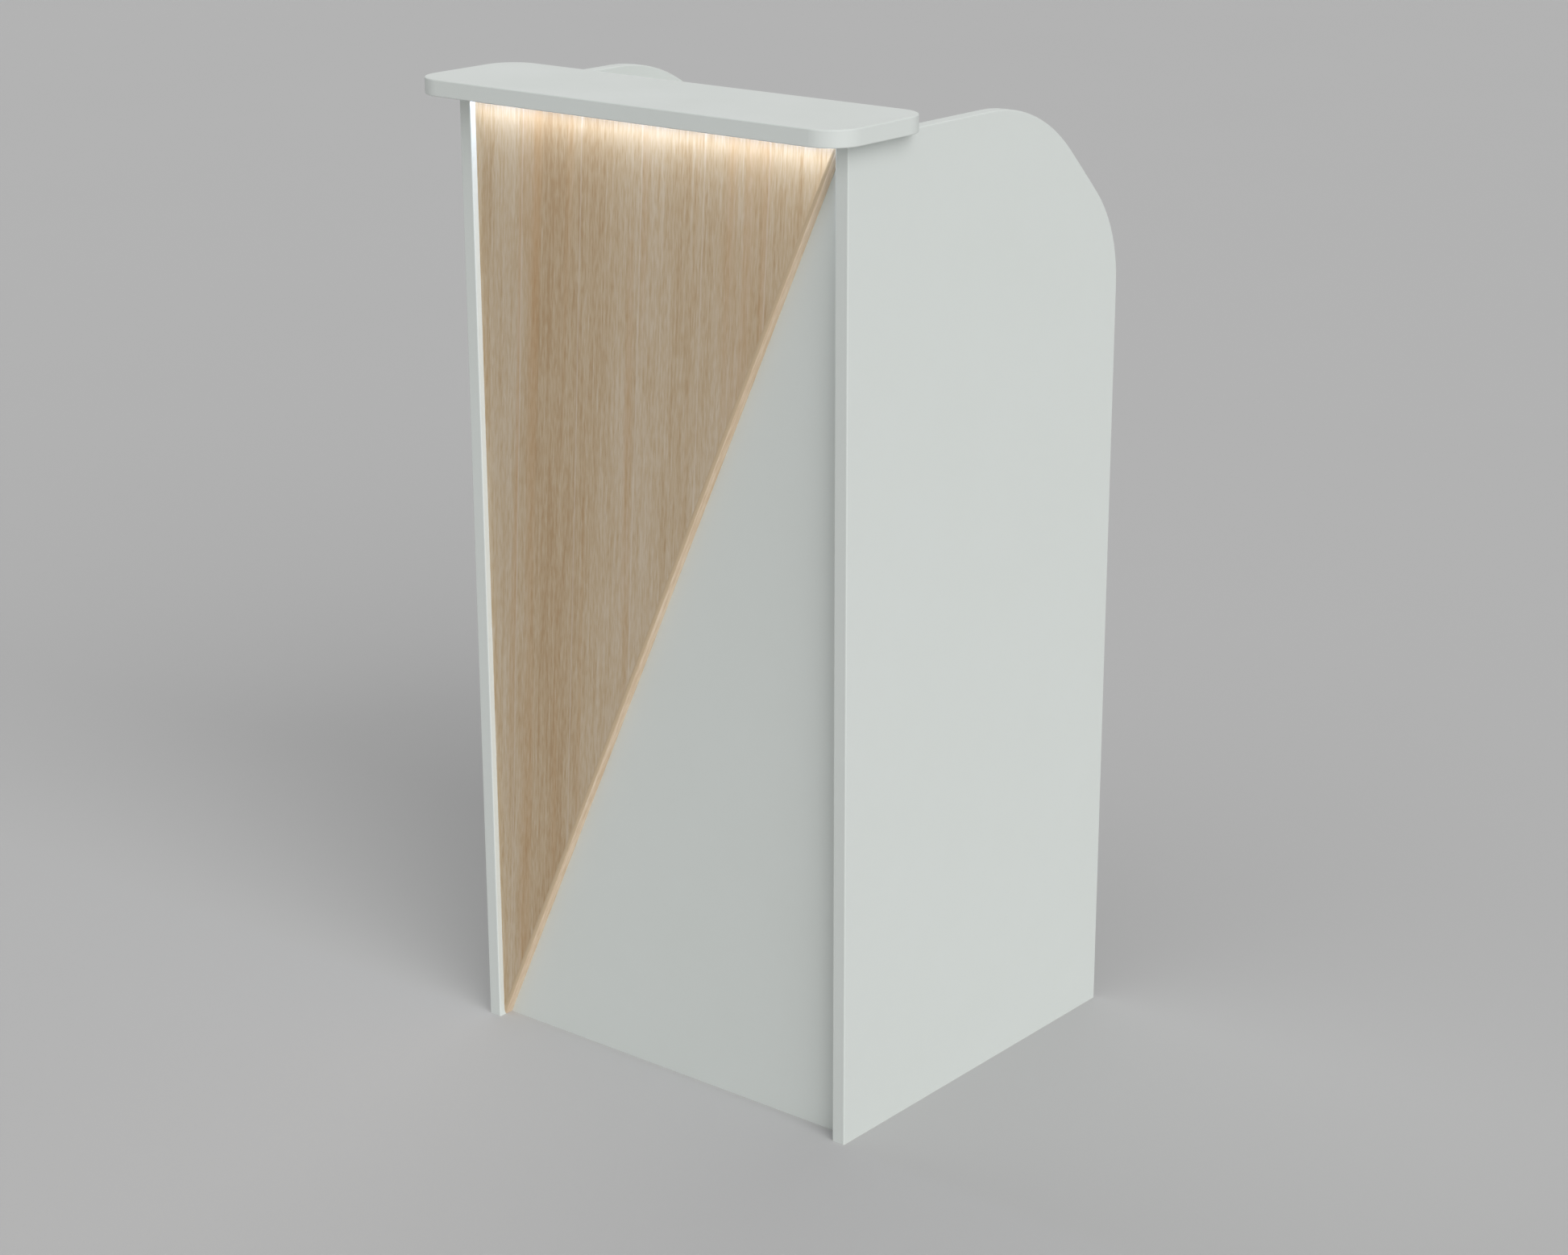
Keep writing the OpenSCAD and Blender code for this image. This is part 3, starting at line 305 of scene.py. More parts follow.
def oak(name, tones, turn, leaf, pore_depth, face=None):
    """Rift-cut oak, oiled matt: straight grain lines, broad tone bands and short open pores along the grain.

    tones are its light, middle, dark and streak colours, and turn brings its grain to local Z. leaf is the
    width of a veneer leaf, whose joints show as faint pale lines, and how far left of the middle the first
    joint lies. face gives the Y of a front face and its tone, where it differs from the edge behind it.
    """
    light, mid, dark, streak = tones
    leaf_w, leaf_start = leaf
    made, tree, place = new_material(name)
    along = add(tree, "ShaderNodeMapping", {"Vector": place, "Rotation": turn})
    split = add(tree, "ShaderNodeSeparateXYZ", {0: along.outputs[0]})
    leaves = add(tree, "ShaderNodeMath", {0: split.outputs["X"], 1: leaf_start}, operation="ADD")
    leaves = add(tree, "ShaderNodeMath", {0: leaves.outputs[0], 1: leaf_w}, operation="DIVIDE")
    number = add(tree, "ShaderNodeMath", {0: leaves.outputs[0]}, operation="FLOOR")
    # each leaf is cut from another place in the log
    log_step = (0.731, 0.0, 1.913)
    shift = add(tree, "ShaderNodeVectorMath", {0: log_step, "Scale": number.outputs[0]}, operation="SCALE")
    grain = add(tree, "ShaderNodeVectorMath", {0: along.outputs[0], 1: shift.outputs[0]}, operation="ADD")

    def lines(width, run, detail, start=None):
        # a pattern with a start of its own runs on through all the leaves
        stretched = add(
            tree, "ShaderNodeMapping",
            {"Vector": (along if start else grain).outputs[0], "Location": (start or 0.0, 0.0, 0.0),
             "Scale": (1 / width, 1 / width, 1 / run)}
        )
        noise = add(
            tree, "ShaderNodeTexNoise", {"Vector": stretched.outputs[0], "Scale": 1.0, "Detail": detail}
        )
        return noise.outputs["Fac"]

    bands = lines(65 * MM, 2000 * MM, 1.0, start=35.1)
    rings = lines(3.6 * MM, 120 * MM, 2.0)
    tan = lines(20 * MM, 1200 * MM, 1.0)
    dashes = lines(2.2 * MM, 16 * MM, 1.0)
    # real pores are about 0.3 mm wide: these are drawn wider, so that they show
    pores = lines(1.4 * MM, 20 * MM, 1.0)
    ring_share, dash_share, pore_share = 0.53, 0.32, 0.35

    tone = add(tree, "ShaderNodeMix", {0: ring_share, 2: bands, 3: rings})
    tone = add(tree, "ShaderNodeMix", {0: dash_share, 2: tone.outputs[0], 3: dashes})
    ramp = add(tree, "ShaderNodeValToRGB", {"Fac": tone.outputs[0]})
    stops = ramp.color_ramp.elements
    for stop, at, tint in ((0, 0.35, dark), (1, 0.65, light)):
        stops[stop].position = at
        stops[stop].color = rgba(tint)
    stops.new(0.5).color = rgba(mid)
    tan_amount = add(
        tree, "ShaderNodeMapRange", {"Value": tan, "From Min": 0.58, "From Max": 0.80, "To Max": 0.5}
    )
    pore = add(tree, "ShaderNodeMapRange", {"Value": pores, "From Min": 0.60, "From Max": 0.70})
    pore_tone = add(tree, "ShaderNodeMath", {0: pore.outputs["Result"], 1: pore_share}, operation="MULTIPLY")
    # joint between two leaves: a faint pale line about 2 mm wide, with soft edges
    joint_out, joint_in = 1.8 * MM / leaf_w, 0.45 * MM / leaf_w
    inside = add(tree, "ShaderNodeMath", {0: leaves.outputs[0]}, operation="FRACT")
    edge = add(tree, "ShaderNodeMath", {0: inside.outputs[0], 1: 0.5}, operation="SUBTRACT")
    edge = add(tree, "ShaderNodeMath", {0: edge.outputs[0]}, operation="ABSOLUTE")
    joint = add(
        tree, "ShaderNodeMapRange",
        {"Value": edge.outputs[0], "From Min": 0.5 - joint_out, "From Max": 0.5 - joint_in, "To Max": 0.2}
    )
    layers = [
        (tan_amount.outputs["Result"], streak), (pore_tone.outputs[0], dark),
        (joint.outputs["Result"], halfway(light, linear("#ffffff")))
    ]
    if face:
        # the face's tone goes over into the edge's at its rounded corner
        face_y, face_tone = face
        depth = add(tree, "ShaderNodeSeparateXYZ", {0: place})
        front = add(
            tree, "ShaderNodeMapRange",
            {"Value": depth.outputs["Y"], "From Min": face_y + 1.5 * MM, "From Max": face_y + 2.5 * MM,
             "To Min": 1.0, "To Max": 0.0}
        )
        layers.append((front.outputs["Result"], face_tone))
    wood = ramp.outputs["Color"]
    for share, tint in layers:
        laid = add(tree, "ShaderNodeMix", {"Factor": share, MIX_A: wood, MIX_B: rgba(tint)}, data_type="RGBA")
        wood = laid.outputs[MIX_OUT]
    gloss = add(
        tree, "ShaderNodeMapRange",
        {"Value": rings, "From Min": 0.3, "From Max": 0.7, "To Min": 0.66, "To Max": 0.56}
    )
    relief = add(
        tree, "ShaderNodeMath", {0: pore.outputs["Result"], 1: -1.0, 2: rings}, operation="MULTIPLY_ADD"
    )
    bump = add(
        tree, "ShaderNodeBump", {"Height": relief.outputs[0], "Strength": 0.25, "Distance": pore_depth}
    )
    close_material(tree, {
        "Base Color": wood, "Roughness": gloss.outputs["Result"],
        "Normal": bump.outputs["Normal"], "IOR": 1.45
    })
    return made


def planed_beech(look):
    """Planed beech: even, pinkish, with short dark ray flecks along the grain."""
    made, tree, place = new_material("planed_beech")
    # a wave of the pattern is two flecks long and wide
    fleck_w, fleck_l, fleck_depth = 0.6 * MM, 3 * MM, 0.2 * MM
    wave = (1 / (2 * fleck_w), 1 / (2 * fleck_l), 1 / (2 * fleck_w))
    stretched = add(tree, "ShaderNodeMapping", {"Vector": place, "Scale": wave})
    fleck = add(tree, "ShaderNodeTexNoise", {"Vector": stretched.outputs[0], "Scale": 1.0, "Detail": 2.0})
    dark = add(
        tree, "ShaderNodeMapRange",
        {"Value": fleck.outputs["Fac"], "From Min": 0.55, "From Max": 0.72, "To Max": 0.5}
    )
    tone = add(
        tree, "ShaderNodeMix",
        {"Factor": dark.outputs["Result"], MIX_A: rgba(look.beech), MIX_B: rgba(shaded(look.beech, 0.62))},
        data_type="RGBA"
    )
    bump = add(
        tree, "ShaderNodeBump", {"Height": fleck.outputs["Fac"], "Strength": 0.15, "Distance": fleck_depth}
    )
    close_material(tree, {
        "Base Color": tone.outputs[MIX_OUT], "Roughness": 0.6, "Normal": bump.outputs["Normal"]
    })
    return made


def zinc_plate(look):
    """Bright zinc plate on pressed steel: a bluish metal with cloudy gloss from the plating bath."""
    made, tree, place = new_material("bright_zinc_plate")
    cloud_w = 4 * MM
    cloud = add(tree, "ShaderNodeTexNoise", {"Vector": place, "Scale": 1 / cloud_w, "Detail": 3.0})
    coat = clouded(tree, cloud, look.zinc, shaded(look.zinc, 0.8), (0.26, 0.44))
    close_material(tree, {**coat, "Metallic": 1.0})
    return made


def anodised_aluminium(look):
    """Satin anodised aluminium: extrusion lines along X that stretch its soft highlight."""
    made, tree, place = new_material("satin_anodised_aluminium")
    # real lines are under 0.1 mm wide: these are drawn wider, so that they show
    line_w, line_l = 0.4 * MM, 150 * MM
    stretched = add(
        tree, "ShaderNodeMapping", {"Vector": place, "Scale": (1 / line_l, 1 / line_w, 1 / line_w)}
    )
    lines = add(tree, "ShaderNodeTexNoise", {"Vector": stretched.outputs[0], "Scale": 1.0, "Detail": 2.0})
    coat = clouded(tree, lines, look.aluminium, shaded(look.aluminium, 0.86), (0.30, 0.42))
    close_material(tree, {**coat, "Metallic": 1.0})
    return made


def opal_diffuser(look, studio):
    """Opal acrylic, lit from behind: milky, even and bright, a trace yellower between the lamps of the tape."""
    made, tree, place = new_material("lit_opal_acrylic")
    split = add(tree, "ShaderNodeSeparateXYZ", {0: place})
    wave = add(
        tree, "ShaderNodeMath", {0: split.outputs["X"], 1: 2 * math.pi / LAMP_STEP}, operation="MULTIPLY"
    )
    wave = add(tree, "ShaderNodeMath", {0: wave.outputs[0]}, operation="SINE")
    warm = add(
        tree, "ShaderNodeMapRange",
        {"Value": wave.outputs[0], "From Min": -1.0, "From Max": 1.0, "To Max": 0.2}
    )
    tone = add(
        tree, "ShaderNodeMix",
        {"Factor": warm.outputs["Result"], MIX_A: rgba(look.opal), MIX_B: rgba(look.opal_warm)},
        data_type="RGBA"
    )
    close_material(tree, {
        "Base Color": tone.outputs[MIX_OUT], "Roughness": 0.45, "IOR": 1.49,
        "Emission Color": rgba(studio.glow), "Emission Strength": studio.glow_strength
    })
    return made


def tape_mask(look):
    """White solder mask on a flexible strip: flat and pale, with a yellow phosphor square for each lamp."""
    made, tree, place = new_material("led_tape_solder_mask")
    low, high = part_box("led_tape")
    split = add(tree, "ShaderNodeSeparateXYZ", {0: place})
    steps = add(tree, "ShaderNodeMath", {0: split.outputs["X"], 1: LAMP_STEP / 2}, operation="PINGPONG")
    aside = add(
        tree, "ShaderNodeMath", {0: split.outputs["Y"], 1: (low.y + high.y) / 2}, operation="SUBTRACT"
    )
    aside = add(tree, "ShaderNodeMath", {0: aside.outputs[0]}, operation="ABSOLUTE")
    off = add(tree, "ShaderNodeMath", {0: steps.outputs[0], 1: aside.outputs[0]}, operation="MAXIMUM")
    lamp = add(
        tree, "ShaderNodeMapRange",
        {"Value": off.outputs[0], "From Min": 1.3 * MM, "From Max": 1.5 * MM, "To Min": 1.0, "To Max": 0.0}
    )
    tone = add(
        tree, "ShaderNodeMix",
        {"Factor": lamp.outputs["Result"], MIX_A: rgba(look.tape), MIX_B: rgba(look.phosphor)},
        data_type="RGBA"
    )
    close_material(tree, {"Base Color": tone.outputs[MIX_OUT], "Roughness": 0.5})
    return made


def moulded_plastic(name, tint, roughness, grit, depth):
    """Moulded ABS: its tool's fine eroded texture, grit wide, scatters the highlight.

    A real grit is about 0.1 mm wide: it is drawn coarser, so that it shows.
    """
    made, tree, place = new_material(name)
    cloud_w = 30 * MM
    texture = add(tree, "ShaderNodeTexNoise", {"Vector": place, "Scale": 1 / grit, "Detail": 2.0})
    cloud = add(tree, "ShaderNodeTexNoise", {"Vector": place, "Scale": 1 / cloud_w, "Detail": 2.0})
    coat = clouded(tree, cloud, tint, shaded(tint, 1.25), (0.9 * roughness, 1.1 * roughness))
    bump = add(tree, "ShaderNodeBump", {"Height": texture.outputs["Fac"], "Strength": 0.3, "Distance": depth})
    close_material(tree, {**coat, "Normal": bump.outputs["Normal"], "IOR": 1.53})
    return made


def floor_vinyl(studio):
    """Matt studio vinyl: an even grey with the faintest cloud, no visible sheen."""
    made, tree, place = new_material("matt_studio_vinyl")
    cloud_w = 800 * MM
    cloud = add(tree, "ShaderNodeTexNoise", {"Vector": place, "Scale": 1 / cloud_w, "Detail": 2.0})
    tone = add(
        tree, "ShaderNodeMix",
        {"Factor": cloud.outputs["Fac"], MIX_A: rgba(studio.floor), MIX_B: rgba(shaded(studio.floor, 0.985))},
        data_type="RGBA"
    )
    close_material(tree, {
        "Base Color": tone.outputs[MIX_OUT], "Roughness": 0.95, "Specular IOR Level": 0.1
    })
    return made


def finish_nodes(material, *names):
    """Gives CAD nodes their finish."""
    for name in names:
        for slot in NODES[name].material_slots:
            slot.material = material


def named(group):
    """A property group's values by their names, which are also the names of a tree's inputs."""
    return {group.bl_rna.properties[key].name: getattr(group, key) for key in type(group).__annotations__}


def node_tree(name, values):
    """An empty Geometry Nodes tree with a geometry in, an input for each named value, and a geometry out."""
    tree = bpy.data.node_groups.new(name, "GeometryNodeTree")
    tree.interface.new_socket("Geometry", in_out="INPUT", socket_type="NodeSocketGeometry")
    for label, value in values.items():
        kind = next(kind for held, kind in SOCKETS.items() if isinstance(value, held))
        tree.interface.new_socket(label, in_out="INPUT", socket_type=kind)
    tree.interface.new_socket("Geometry", in_out="OUTPUT", socket_type="NodeSocketGeometry")
    return tree, add(tree, "NodeGroupInput").outputs


def close_tree(tree, given, geometry, crease=math.radians(35)):
    """Ends a tree: real geometry, smooth up to a crease angle, with the finish set."""
    real = add(tree, "GeometryNodeRealizeInstances", {0: geometry})
    smooth = add(tree, "GeometryNodeSetShadeSmooth", {0: real.outputs[0], "Shade Smooth": True}, domain="FACE")
    bend = add(tree, "GeometryNodeInputMeshEdgeAngle")
    sharp = add(
        tree, "FunctionNodeCompare", {0: bend.outputs["Unsigned Angle"], 1: crease}, operation="GREATER_THAN"
    )
    edges = add(
        tree, "GeometryNodeSetShadeSmooth",
        {0: smooth.outputs[0], "Selection": sharp.outputs[0], "Shade Smooth": False}, domain="EDGE"
    )
    coated = add(tree, "GeometryNodeSetMaterial", {0: edges.outputs[0], "Material": given["Finish"]})
    add(tree, "NodeGroupOutput", {0: coated.outputs[0]})


def grown(name, tree, values, points, axes=None):
    """Runs a tree on points and returns its result as a plain mesh object at the origin."""
    seed = bpy.data.meshes.new(name)
    seed.from_pydata([tuple(p) for p in points], [], [])
    if axes:
        stored = seed.attributes.new("axis", "FLOAT_VECTOR", "POINT")
        for item, axis in zip(stored.data, axes):
            item.vector = axis
    piece = bpy.data.objects.new(name, seed)
    bpy.context.scene.collection.objects.link(piece)
    modifier = piece.modifiers.new(tree.name, "NODES")
    modifier.node_group = tree
    sockets = {s.name: s.identifier for s in tree.interface.items_tree if s.in_out == "INPUT"}
    for label, value in values.items():
        modifier[sockets[label]] = value
    graph = bpy.context.evaluated_depsgraph_get()
    graph.update()
    mesh = bpy.data.meshes.new_from_object(piece.evaluated_get(graph), depsgraph=graph)
    piece.modifiers.clear()
    piece.data = mesh
    bpy.data.meshes.remove(seed)
    mesh.name = name
    if not mesh.polygons:
        raise RuntimeError(f"{name} came out empty")
    return piece


def islands(node):
    """The separate solids of a CAD node, each as a list of points."""
    shape = bmesh.new()
    shape.from_mesh(NODES[node].data)
    bmesh.ops.remove_doubles(shape, verts=shape.verts, dist=0.001 * MM)
    seen = set()
    groups = []
    for start in shape.verts:
        if start in seen:
            continue
        seen.add(start)
        group, open_ends = [], [start]
        while open_ends:
            vert = open_ends.pop()
            group.append(vert.co.copy())
            for edge in vert.link_edges:
                other = edge.other_vert(vert)
                if other not in seen:
                    seen.add(other)
                    open_ends.append(other)
        groups.append(group)
    shape.free()
    return groups


def screw_seats(node, head_h):
    """Where each screw of a CAD node sits: the point under its head, the way its head faces, and its length."""
    seats = []
    for points in islands(node):
        centre = sum(points, Vector()) / len(points)
        far = max(points, key=lambda p: (p - centre).length)
        tip = max(points, key=lambda p: (p - far).length)
        # the pointed end has fewer points round it than the head
        near = 4 * head_h
        point, head = sorted((far, tip), key=lambda end: sum((p - end).length < near for p in points))
        rim = [p for p in points if (p - point).length > (head - point).length - head_h]
        top = sum(rim, Vector()) / len(rim)
        axis = (top - point).normalized()
        reach = max((p - point).dot(axis) for p in points)
        seats.append((point + axis * (reach - head_h), axis, reach - head_h))
    return seats


def lifted(tree, geometry, height):
    """Geometry moved up by a height."""
    up = add(tree, "ShaderNodeCombineXYZ", {"Z": height})
    return add(tree, "GeometryNodeTransform", {0: geometry, "Translation": up.outputs[0]}).outputs[0]


def helix(tree, radius, ridge, rise, pitch):
    """A thread ridge that winds up from z = 0."""
    turns = add(tree, "ShaderNodeMath", {0: rise, 1: pitch}, operation="DIVIDE")
    path = add(
        tree, "GeometryNodeCurveSpiral",
        {"Resolution": THREAD_STEPS, "Rotations": turns.outputs[0], "Start Radius": radius,
         "End Radius": radius, "Height": rise}
    )
    section = add(tree, "GeometryNodeCurvePrimitiveCircle", {"Resolution": THREAD_SIDES, "Radius": ridge})
    wound = add(
        tree, "GeometryNodeCurveToMesh",
        {"Curve": path.outputs[0], "Profile Curve": section.outputs[0], "Fill Caps": True}
    )
    return wound.outputs[0]


def turned(tree, size, left, rows):
    """Rings turned about Z to named sizes.

    left adds sizes, each what is left of one size when another is taken off. A row gives a ring's faces
    round, lower radius, upper radius, height and start.
    """
    for label, whole, part in left:
        rest = add(tree, "ShaderNodeMath", {0: size[whole], 1: size[part]}, operation="SUBTRACT")
        size[label] = rest.outputs[0]
    rings = []
    for sides, low, high, height, start in rows:
        ring = add(
            tree, "GeometryNodeMeshCone",
            {"Vertices": sides, "Radius Bottom": size[low], "Radius Top": size[high], "Depth": size[height]}
        )
        rings.append(lifted(tree, ring.outputs[0], size[start]))
    return rings


def screw_tree(values):
    """Pan head wood screws with a cross recess, one on each point, their heads along the points' axis."""
    tree, given = node_tree("Cross recess screws", values)
    size = {label: given[label] for label in values} | {"Seat": 0.0, "Point": 0.0}
    drum, crown, shank, tip = turned(tree, size, (
        ("Shank length", "Length", "Tip"),
        ("Shank start", "Seat", "Shank length"),
        ("Tip start", "Seat", "Length"),
    ), (
        (HEAD_SIDES, "Head radius", "Head radius", "Drum height", "Seat"),
        (HEAD_SIDES, "Head radius", "Crown radius", "Crown height", "Drum height"),
        (SHANK_SIDES, "Core radius", "Core radius", "Shank length", "Shank start"),
        (SHANK_SIDES, "Point", "Core radius", "Tip", "Tip start"),
    ))
    head = add(tree, "GeometryNodeMeshBoolean", {"Mesh 2": drum}, operation="UNION", solver="EXACT")
    tree.links.new(crown, head.inputs["Mesh 2"])
    top = add(tree, "ShaderNodeMath", {0: given["Drum height"], 1: given["Crown height"]}, operation="ADD")
    # the cutters stand half above the head
    deep = add(tree, "ShaderNodeMath", {0: given["Recess depth"], 1: 2.0}, operation="MULTIPLY")
    cut = add(
        tree, "GeometryNodeMeshBoolean", {"Mesh 1": head.outputs[0]}, operation="DIFFERENCE", solver="EXACT"
    )
    for x, y in (("Recess width", "Recess length"), ("Recess length", "Recess width")):
        sides = add(tree, "ShaderNodeCombineXYZ", {"X": given[x], "Y": given[y], "Z": deep.outputs[0]})
        bar = add(tree, "GeometryNodeMeshCube", {"Size": sides.outputs[0]})
        tree.links.new(lifted(tree, bar.outputs[0], top.outputs[0]), cut.inputs["Mesh 2"])
    thread = helix(
        tree, size["Core radius"], size["Thread ridge"], size["Shank length"], size["Thread pitch"]
    )
    thread = lifted(tree, thread, size["Shank start"])
    whole = add(tree, "GeometryNodeJoinGeometry", {0: cut.outputs[0]})
    for shape in (shank, tip, thread):
        tree.links.new(shape, whole.inputs[0])
    axis = add(tree, "GeometryNodeInputNamedAttribute", {"Name": "axis"}, data_type="FLOAT_VECTOR")
    stand = add(tree, "FunctionNodeAlignRotationToVector", {"Vector": axis.outputs[0]}, axis="Z")
    turn = add(
        tree, "FunctionNodeRandomValue", {2: 0.0, 3: math.pi / 2, "Seed": given["Seed"]}, data_type="FLOAT"
    )
    spin = add(tree, "FunctionNodeAxisAngleToRotation", {"Axis": (0.0, 0.0, 1.0), "Angle": turn.outputs[1]})
    stand = add(
        tree, "FunctionNodeRotateRotation", {0: stand.outputs[0], 1: spin.outputs[0]}, rotation_space="LOCAL"
    )
    placed = add(
        tree, "GeometryNodeInstanceOnPoints",
        {"Points": given["Geometry"], "Instance": whole.outputs[0], "Rotation": stand.outputs[0]}
    )
    close_tree(tree, given, placed.outputs[0])
    return tree


def foot_tree(values):
    """A screw-in levelling foot on a point of the floor: pad, hexagon and threaded stem."""
    tree, given = node_tree("Levelling foot", values)
    size = {label: given[label] for label in values} | {"Floor": 0.0}
    rings = turned(tree, size, (
        ("Foot radius", "Pad radius", "Chamfer"),
        ("Wall height", "Pad height", "Chamfer"),
        ("Slope height", "Neck height", "Pad height"),
        ("Nut height", "Nut top", "Neck height"),
        ("Core radius", "Stem radius", "Thread ridge"),
        ("Stem end", "Stem top", "Chamfer"),
        ("Core height", "Stem end", "Neck height"),
        ("Point radius", "Core radius", "Chamfer"),
        ("Thread height", "Stem end", "Nut top"),
    ), (
        (PAD_SIDES, "Foot radius", "Pad radius", "Chamfer", "Floor"),
        (PAD_SIDES, "Pad radius", "Pad radius", "Wall height", "Chamfer"),
        (PAD_SIDES, "Pad radius", "Nut radius", "Slope height", "Pad height"),
        (NUT_SIDES, "Nut radius", "Nut radius", "Nut height", "Neck height"),
        (STEM_SIDES, "Core radius", "Core radius", "Core height", "Neck height"),
        (STEM_SIDES, "Core radius", "Point radius", "Chamfer", "Stem end"),
    ))
    thread = helix(
        tree, size["Core radius"], size["Thread ridge"], size["Thread height"], size["Thread pitch"]
    )
    foot = add(tree, "GeometryNodeJoinGeometry")
    for shape in (*rings, lifted(tree, thread, size["Nut top"])):
        tree.links.new(shape, foot.inputs[0])
    placed = add(
        tree, "GeometryNodeInstanceOnPoints", {"Points": given["Geometry"], "Instance": foot.outputs[0]}
    )
    close_tree(tree, given, placed.outputs[0])
    return tree


def rib_tree(values):
    """A row of upright half-round ribs along X, which starts at a point."""
    tree, given = node_tree("Cooling ribs", values)
    rise = add(tree, "ShaderNodeCombineXYZ", {"Z": given["Rib length"]})
    spine = add(tree, "GeometryNodeCurvePrimitiveLine", {"End": rise.outputs[0]})
    section = add(
        tree, "GeometryNodeCurvePrimitiveCircle", {"Resolution": RIB_SIDES, "Radius": given["Rib radius"]}
    )
    rib = add(
        tree, "GeometryNodeCurveToMesh",
        {"Curve": spine.outputs[0], "Profile Curve": section.outputs[0], "Fill Caps": True}
    )
    step = add(tree, "ShaderNodeCombineXYZ", {"X": given["Rib pitch"]})
    row = add(
        tree, "GeometryNodeMeshLine", {"Count": given["Rib count"], "Offset": step.outputs[0]}, mode="OFFSET"
    )
    ribs = add(tree, "GeometryNodeInstanceOnPoints", {"Points": row.outputs[0], "Instance": rib.outputs[0]})
    placed = add(
        tree, "GeometryNodeInstanceOnPoints", {"Points": given["Geometry"], "Instance": ribs.outputs[0]}
    )
    close_tree(tree, given, placed.outputs[0])
    return tree


def rocker_marks(size):
    """A bar for on and a ring for off, laid on the two sloping faces of the rocker."""
    pivot = Vector(next(j for j in frame["joints"] if j["name"] == "rocker_tip")["pos_m"])
    half, reach = size.bar_w / 2, size.reach
    bar = [[(-half, -reach), (half, -reach), (half, reach), (-half, reach)]]
    angles = [2 * math.pi * k / RING_SIDES for k in range(RING_SIDES)]
    ring = [[(r * math.cos(a), r * math.sin(a)) for a in angles] for r in (reach, size.hole)]
    across = Vector((1.0, 0.0, 0.0))
    turn = Matrix.Rotation(size.slope, 3, "X")
    grade = math.tan(size.slope)
    shape = bmesh.new()
    for side, loops in ((1, bar), (-1, ring)):
        # along the face and out of it, in the plane across the pivot, turned with the rocker
        run = turn @ Vector((0.0, grade, side)).normalized()
        out = turn @ Vector((0.0, 1.0, -side * grade)).normalized()
        foot = pivot + turn @ Vector((0.0, size.rise, 0.0)) + run * size.out
        # each mark starts a little inside the rocker
        rows = [
            [shape.verts.new(foot + across * u + run * v + out * depth) for u, v in loop]
            for loop in loops for depth in (-2 * size.proud, size.proud)
        ]
        count = len(loops[0])
        for k in range(count):
            m = (k + 1) % count
            shape.faces.new((rows[0][k], rows[0][m], rows[1][m], rows[1][k]))
            if loops is ring:
                shape.faces.new((rows[2][k], rows[3][k], rows[3][m], rows[2][m]))
                shape.faces.new((rows[1][k], rows[1][m], rows[3][m], rows[3][k]))
                shape.faces.new((rows[0][k], rows[2][k], rows[2][m], rows[0][m]))
        if loops is bar:
            shape.faces.new(rows[1])
            shape.faces.new(rows[0][::-1])
    bmesh.ops.recalc_face_normals(shape, faces=shape.faces)
    mesh = bpy.data.meshes.new("rocker_marks")
    shape.to_mesh(mesh)
    shape.free()
    piece = bpy.data.objects.new("rocker_marks", mesh)
    bpy.context.scene.collection.objects.link(piece)
    return piece


class LECTERN_OT_stage(bpy.types.Operator):
    """Sets the floor, the light and the camera"""

    bl_idname = "lectern.stage"
    bl_label = "Studio"

    def execute(self, context):
        scene = context.scene
        studio = scene.lectern_studio
        scene.view_settings.view_transform = "Standard"

        shape = bmesh.new()
        bmesh.ops.create_circle(shape, cap_ends=True, radius=studio.floor_r, segments=FLOOR_SIDES)
        mesh = bpy.data.meshes.new("studio_floor")
        shape.to_mesh(mesh)
        shape.free()
        mesh.materials.append(floor_vinyl(studio))
        floor = bpy.data.objects.new("studio_floor", mesh)
        scene.collection.objects.link(floor)

        # the sky lights the object, and the backdrop is what the camera, metal and glass see
        world = bpy.data.worlds.new("even_studio_light")
        world.use_nodes = True
        tree = world.node_tree
        ray = add(tree, "ShaderNodeLightPath").outputs
        seen = add(
            tree, "ShaderNodeMath", {0: ray["Is Camera Ray"], 1: ray["Is Glossy Ray"]}, operation="ADD"
        )
        seen = add(
            tree, "ShaderNodeMath", {0: seen.outputs[0], 1: ray["Is Transmission Ray"]},
            operation="ADD", use_clamp=True
        )
        tone = add(
            tree, "ShaderNodeMix",
            {"Factor": seen.outputs[0], MIX_A: rgba(studio.sky), MIX_B: rgba(studio.backdrop)},
            data_type="RGBA"
        )
        tree.links.new(tone.outputs[MIX_OUT], tree.nodes["Background"].inputs["Color"])
        scene.world = world

        for name, energy, spread, source in (
            ("soft_key", studio.key_strength, studio.key_spread, studio.key_from),
            ("broad_front", studio.front_strength, studio.front_spread, studio.front_from),
            ("broad_back", studio.back_strength, studio.back_spread, studio.back_from),
        ):
            lamp = bpy.data.lights.new(name, "SUN")
            lamp.energy = energy
            lamp.angle = spread
            light = bpy.data.objects.new(name, lamp)
            light.rotation_euler = Vector(source).to_track_quat("Z", "Y").to_euler()
            scene.collection.objects.link(light)

        lens = bpy.data.cameras.new("photo_view")
        lens.sensor_fit = "HORIZONTAL"
        lens.lens = studio.lens
        camera = bpy.data.objects.new("photo_view", lens)
        camera.location = studio.camera_at
        turn = Matrix.Rotation(studio.azimuth, 3, "Z")
        tilt = Matrix.Rotation(math.pi / 2 - studio.elevation, 3, "X")
        camera.rotation_euler = (turn @ tilt @ Matrix.Rotation(studio.roll, 3, "Z")).to_euler()
        scene.collection.objects.link(camera)
        scene.camera = camera
        return {"FINISHED"}


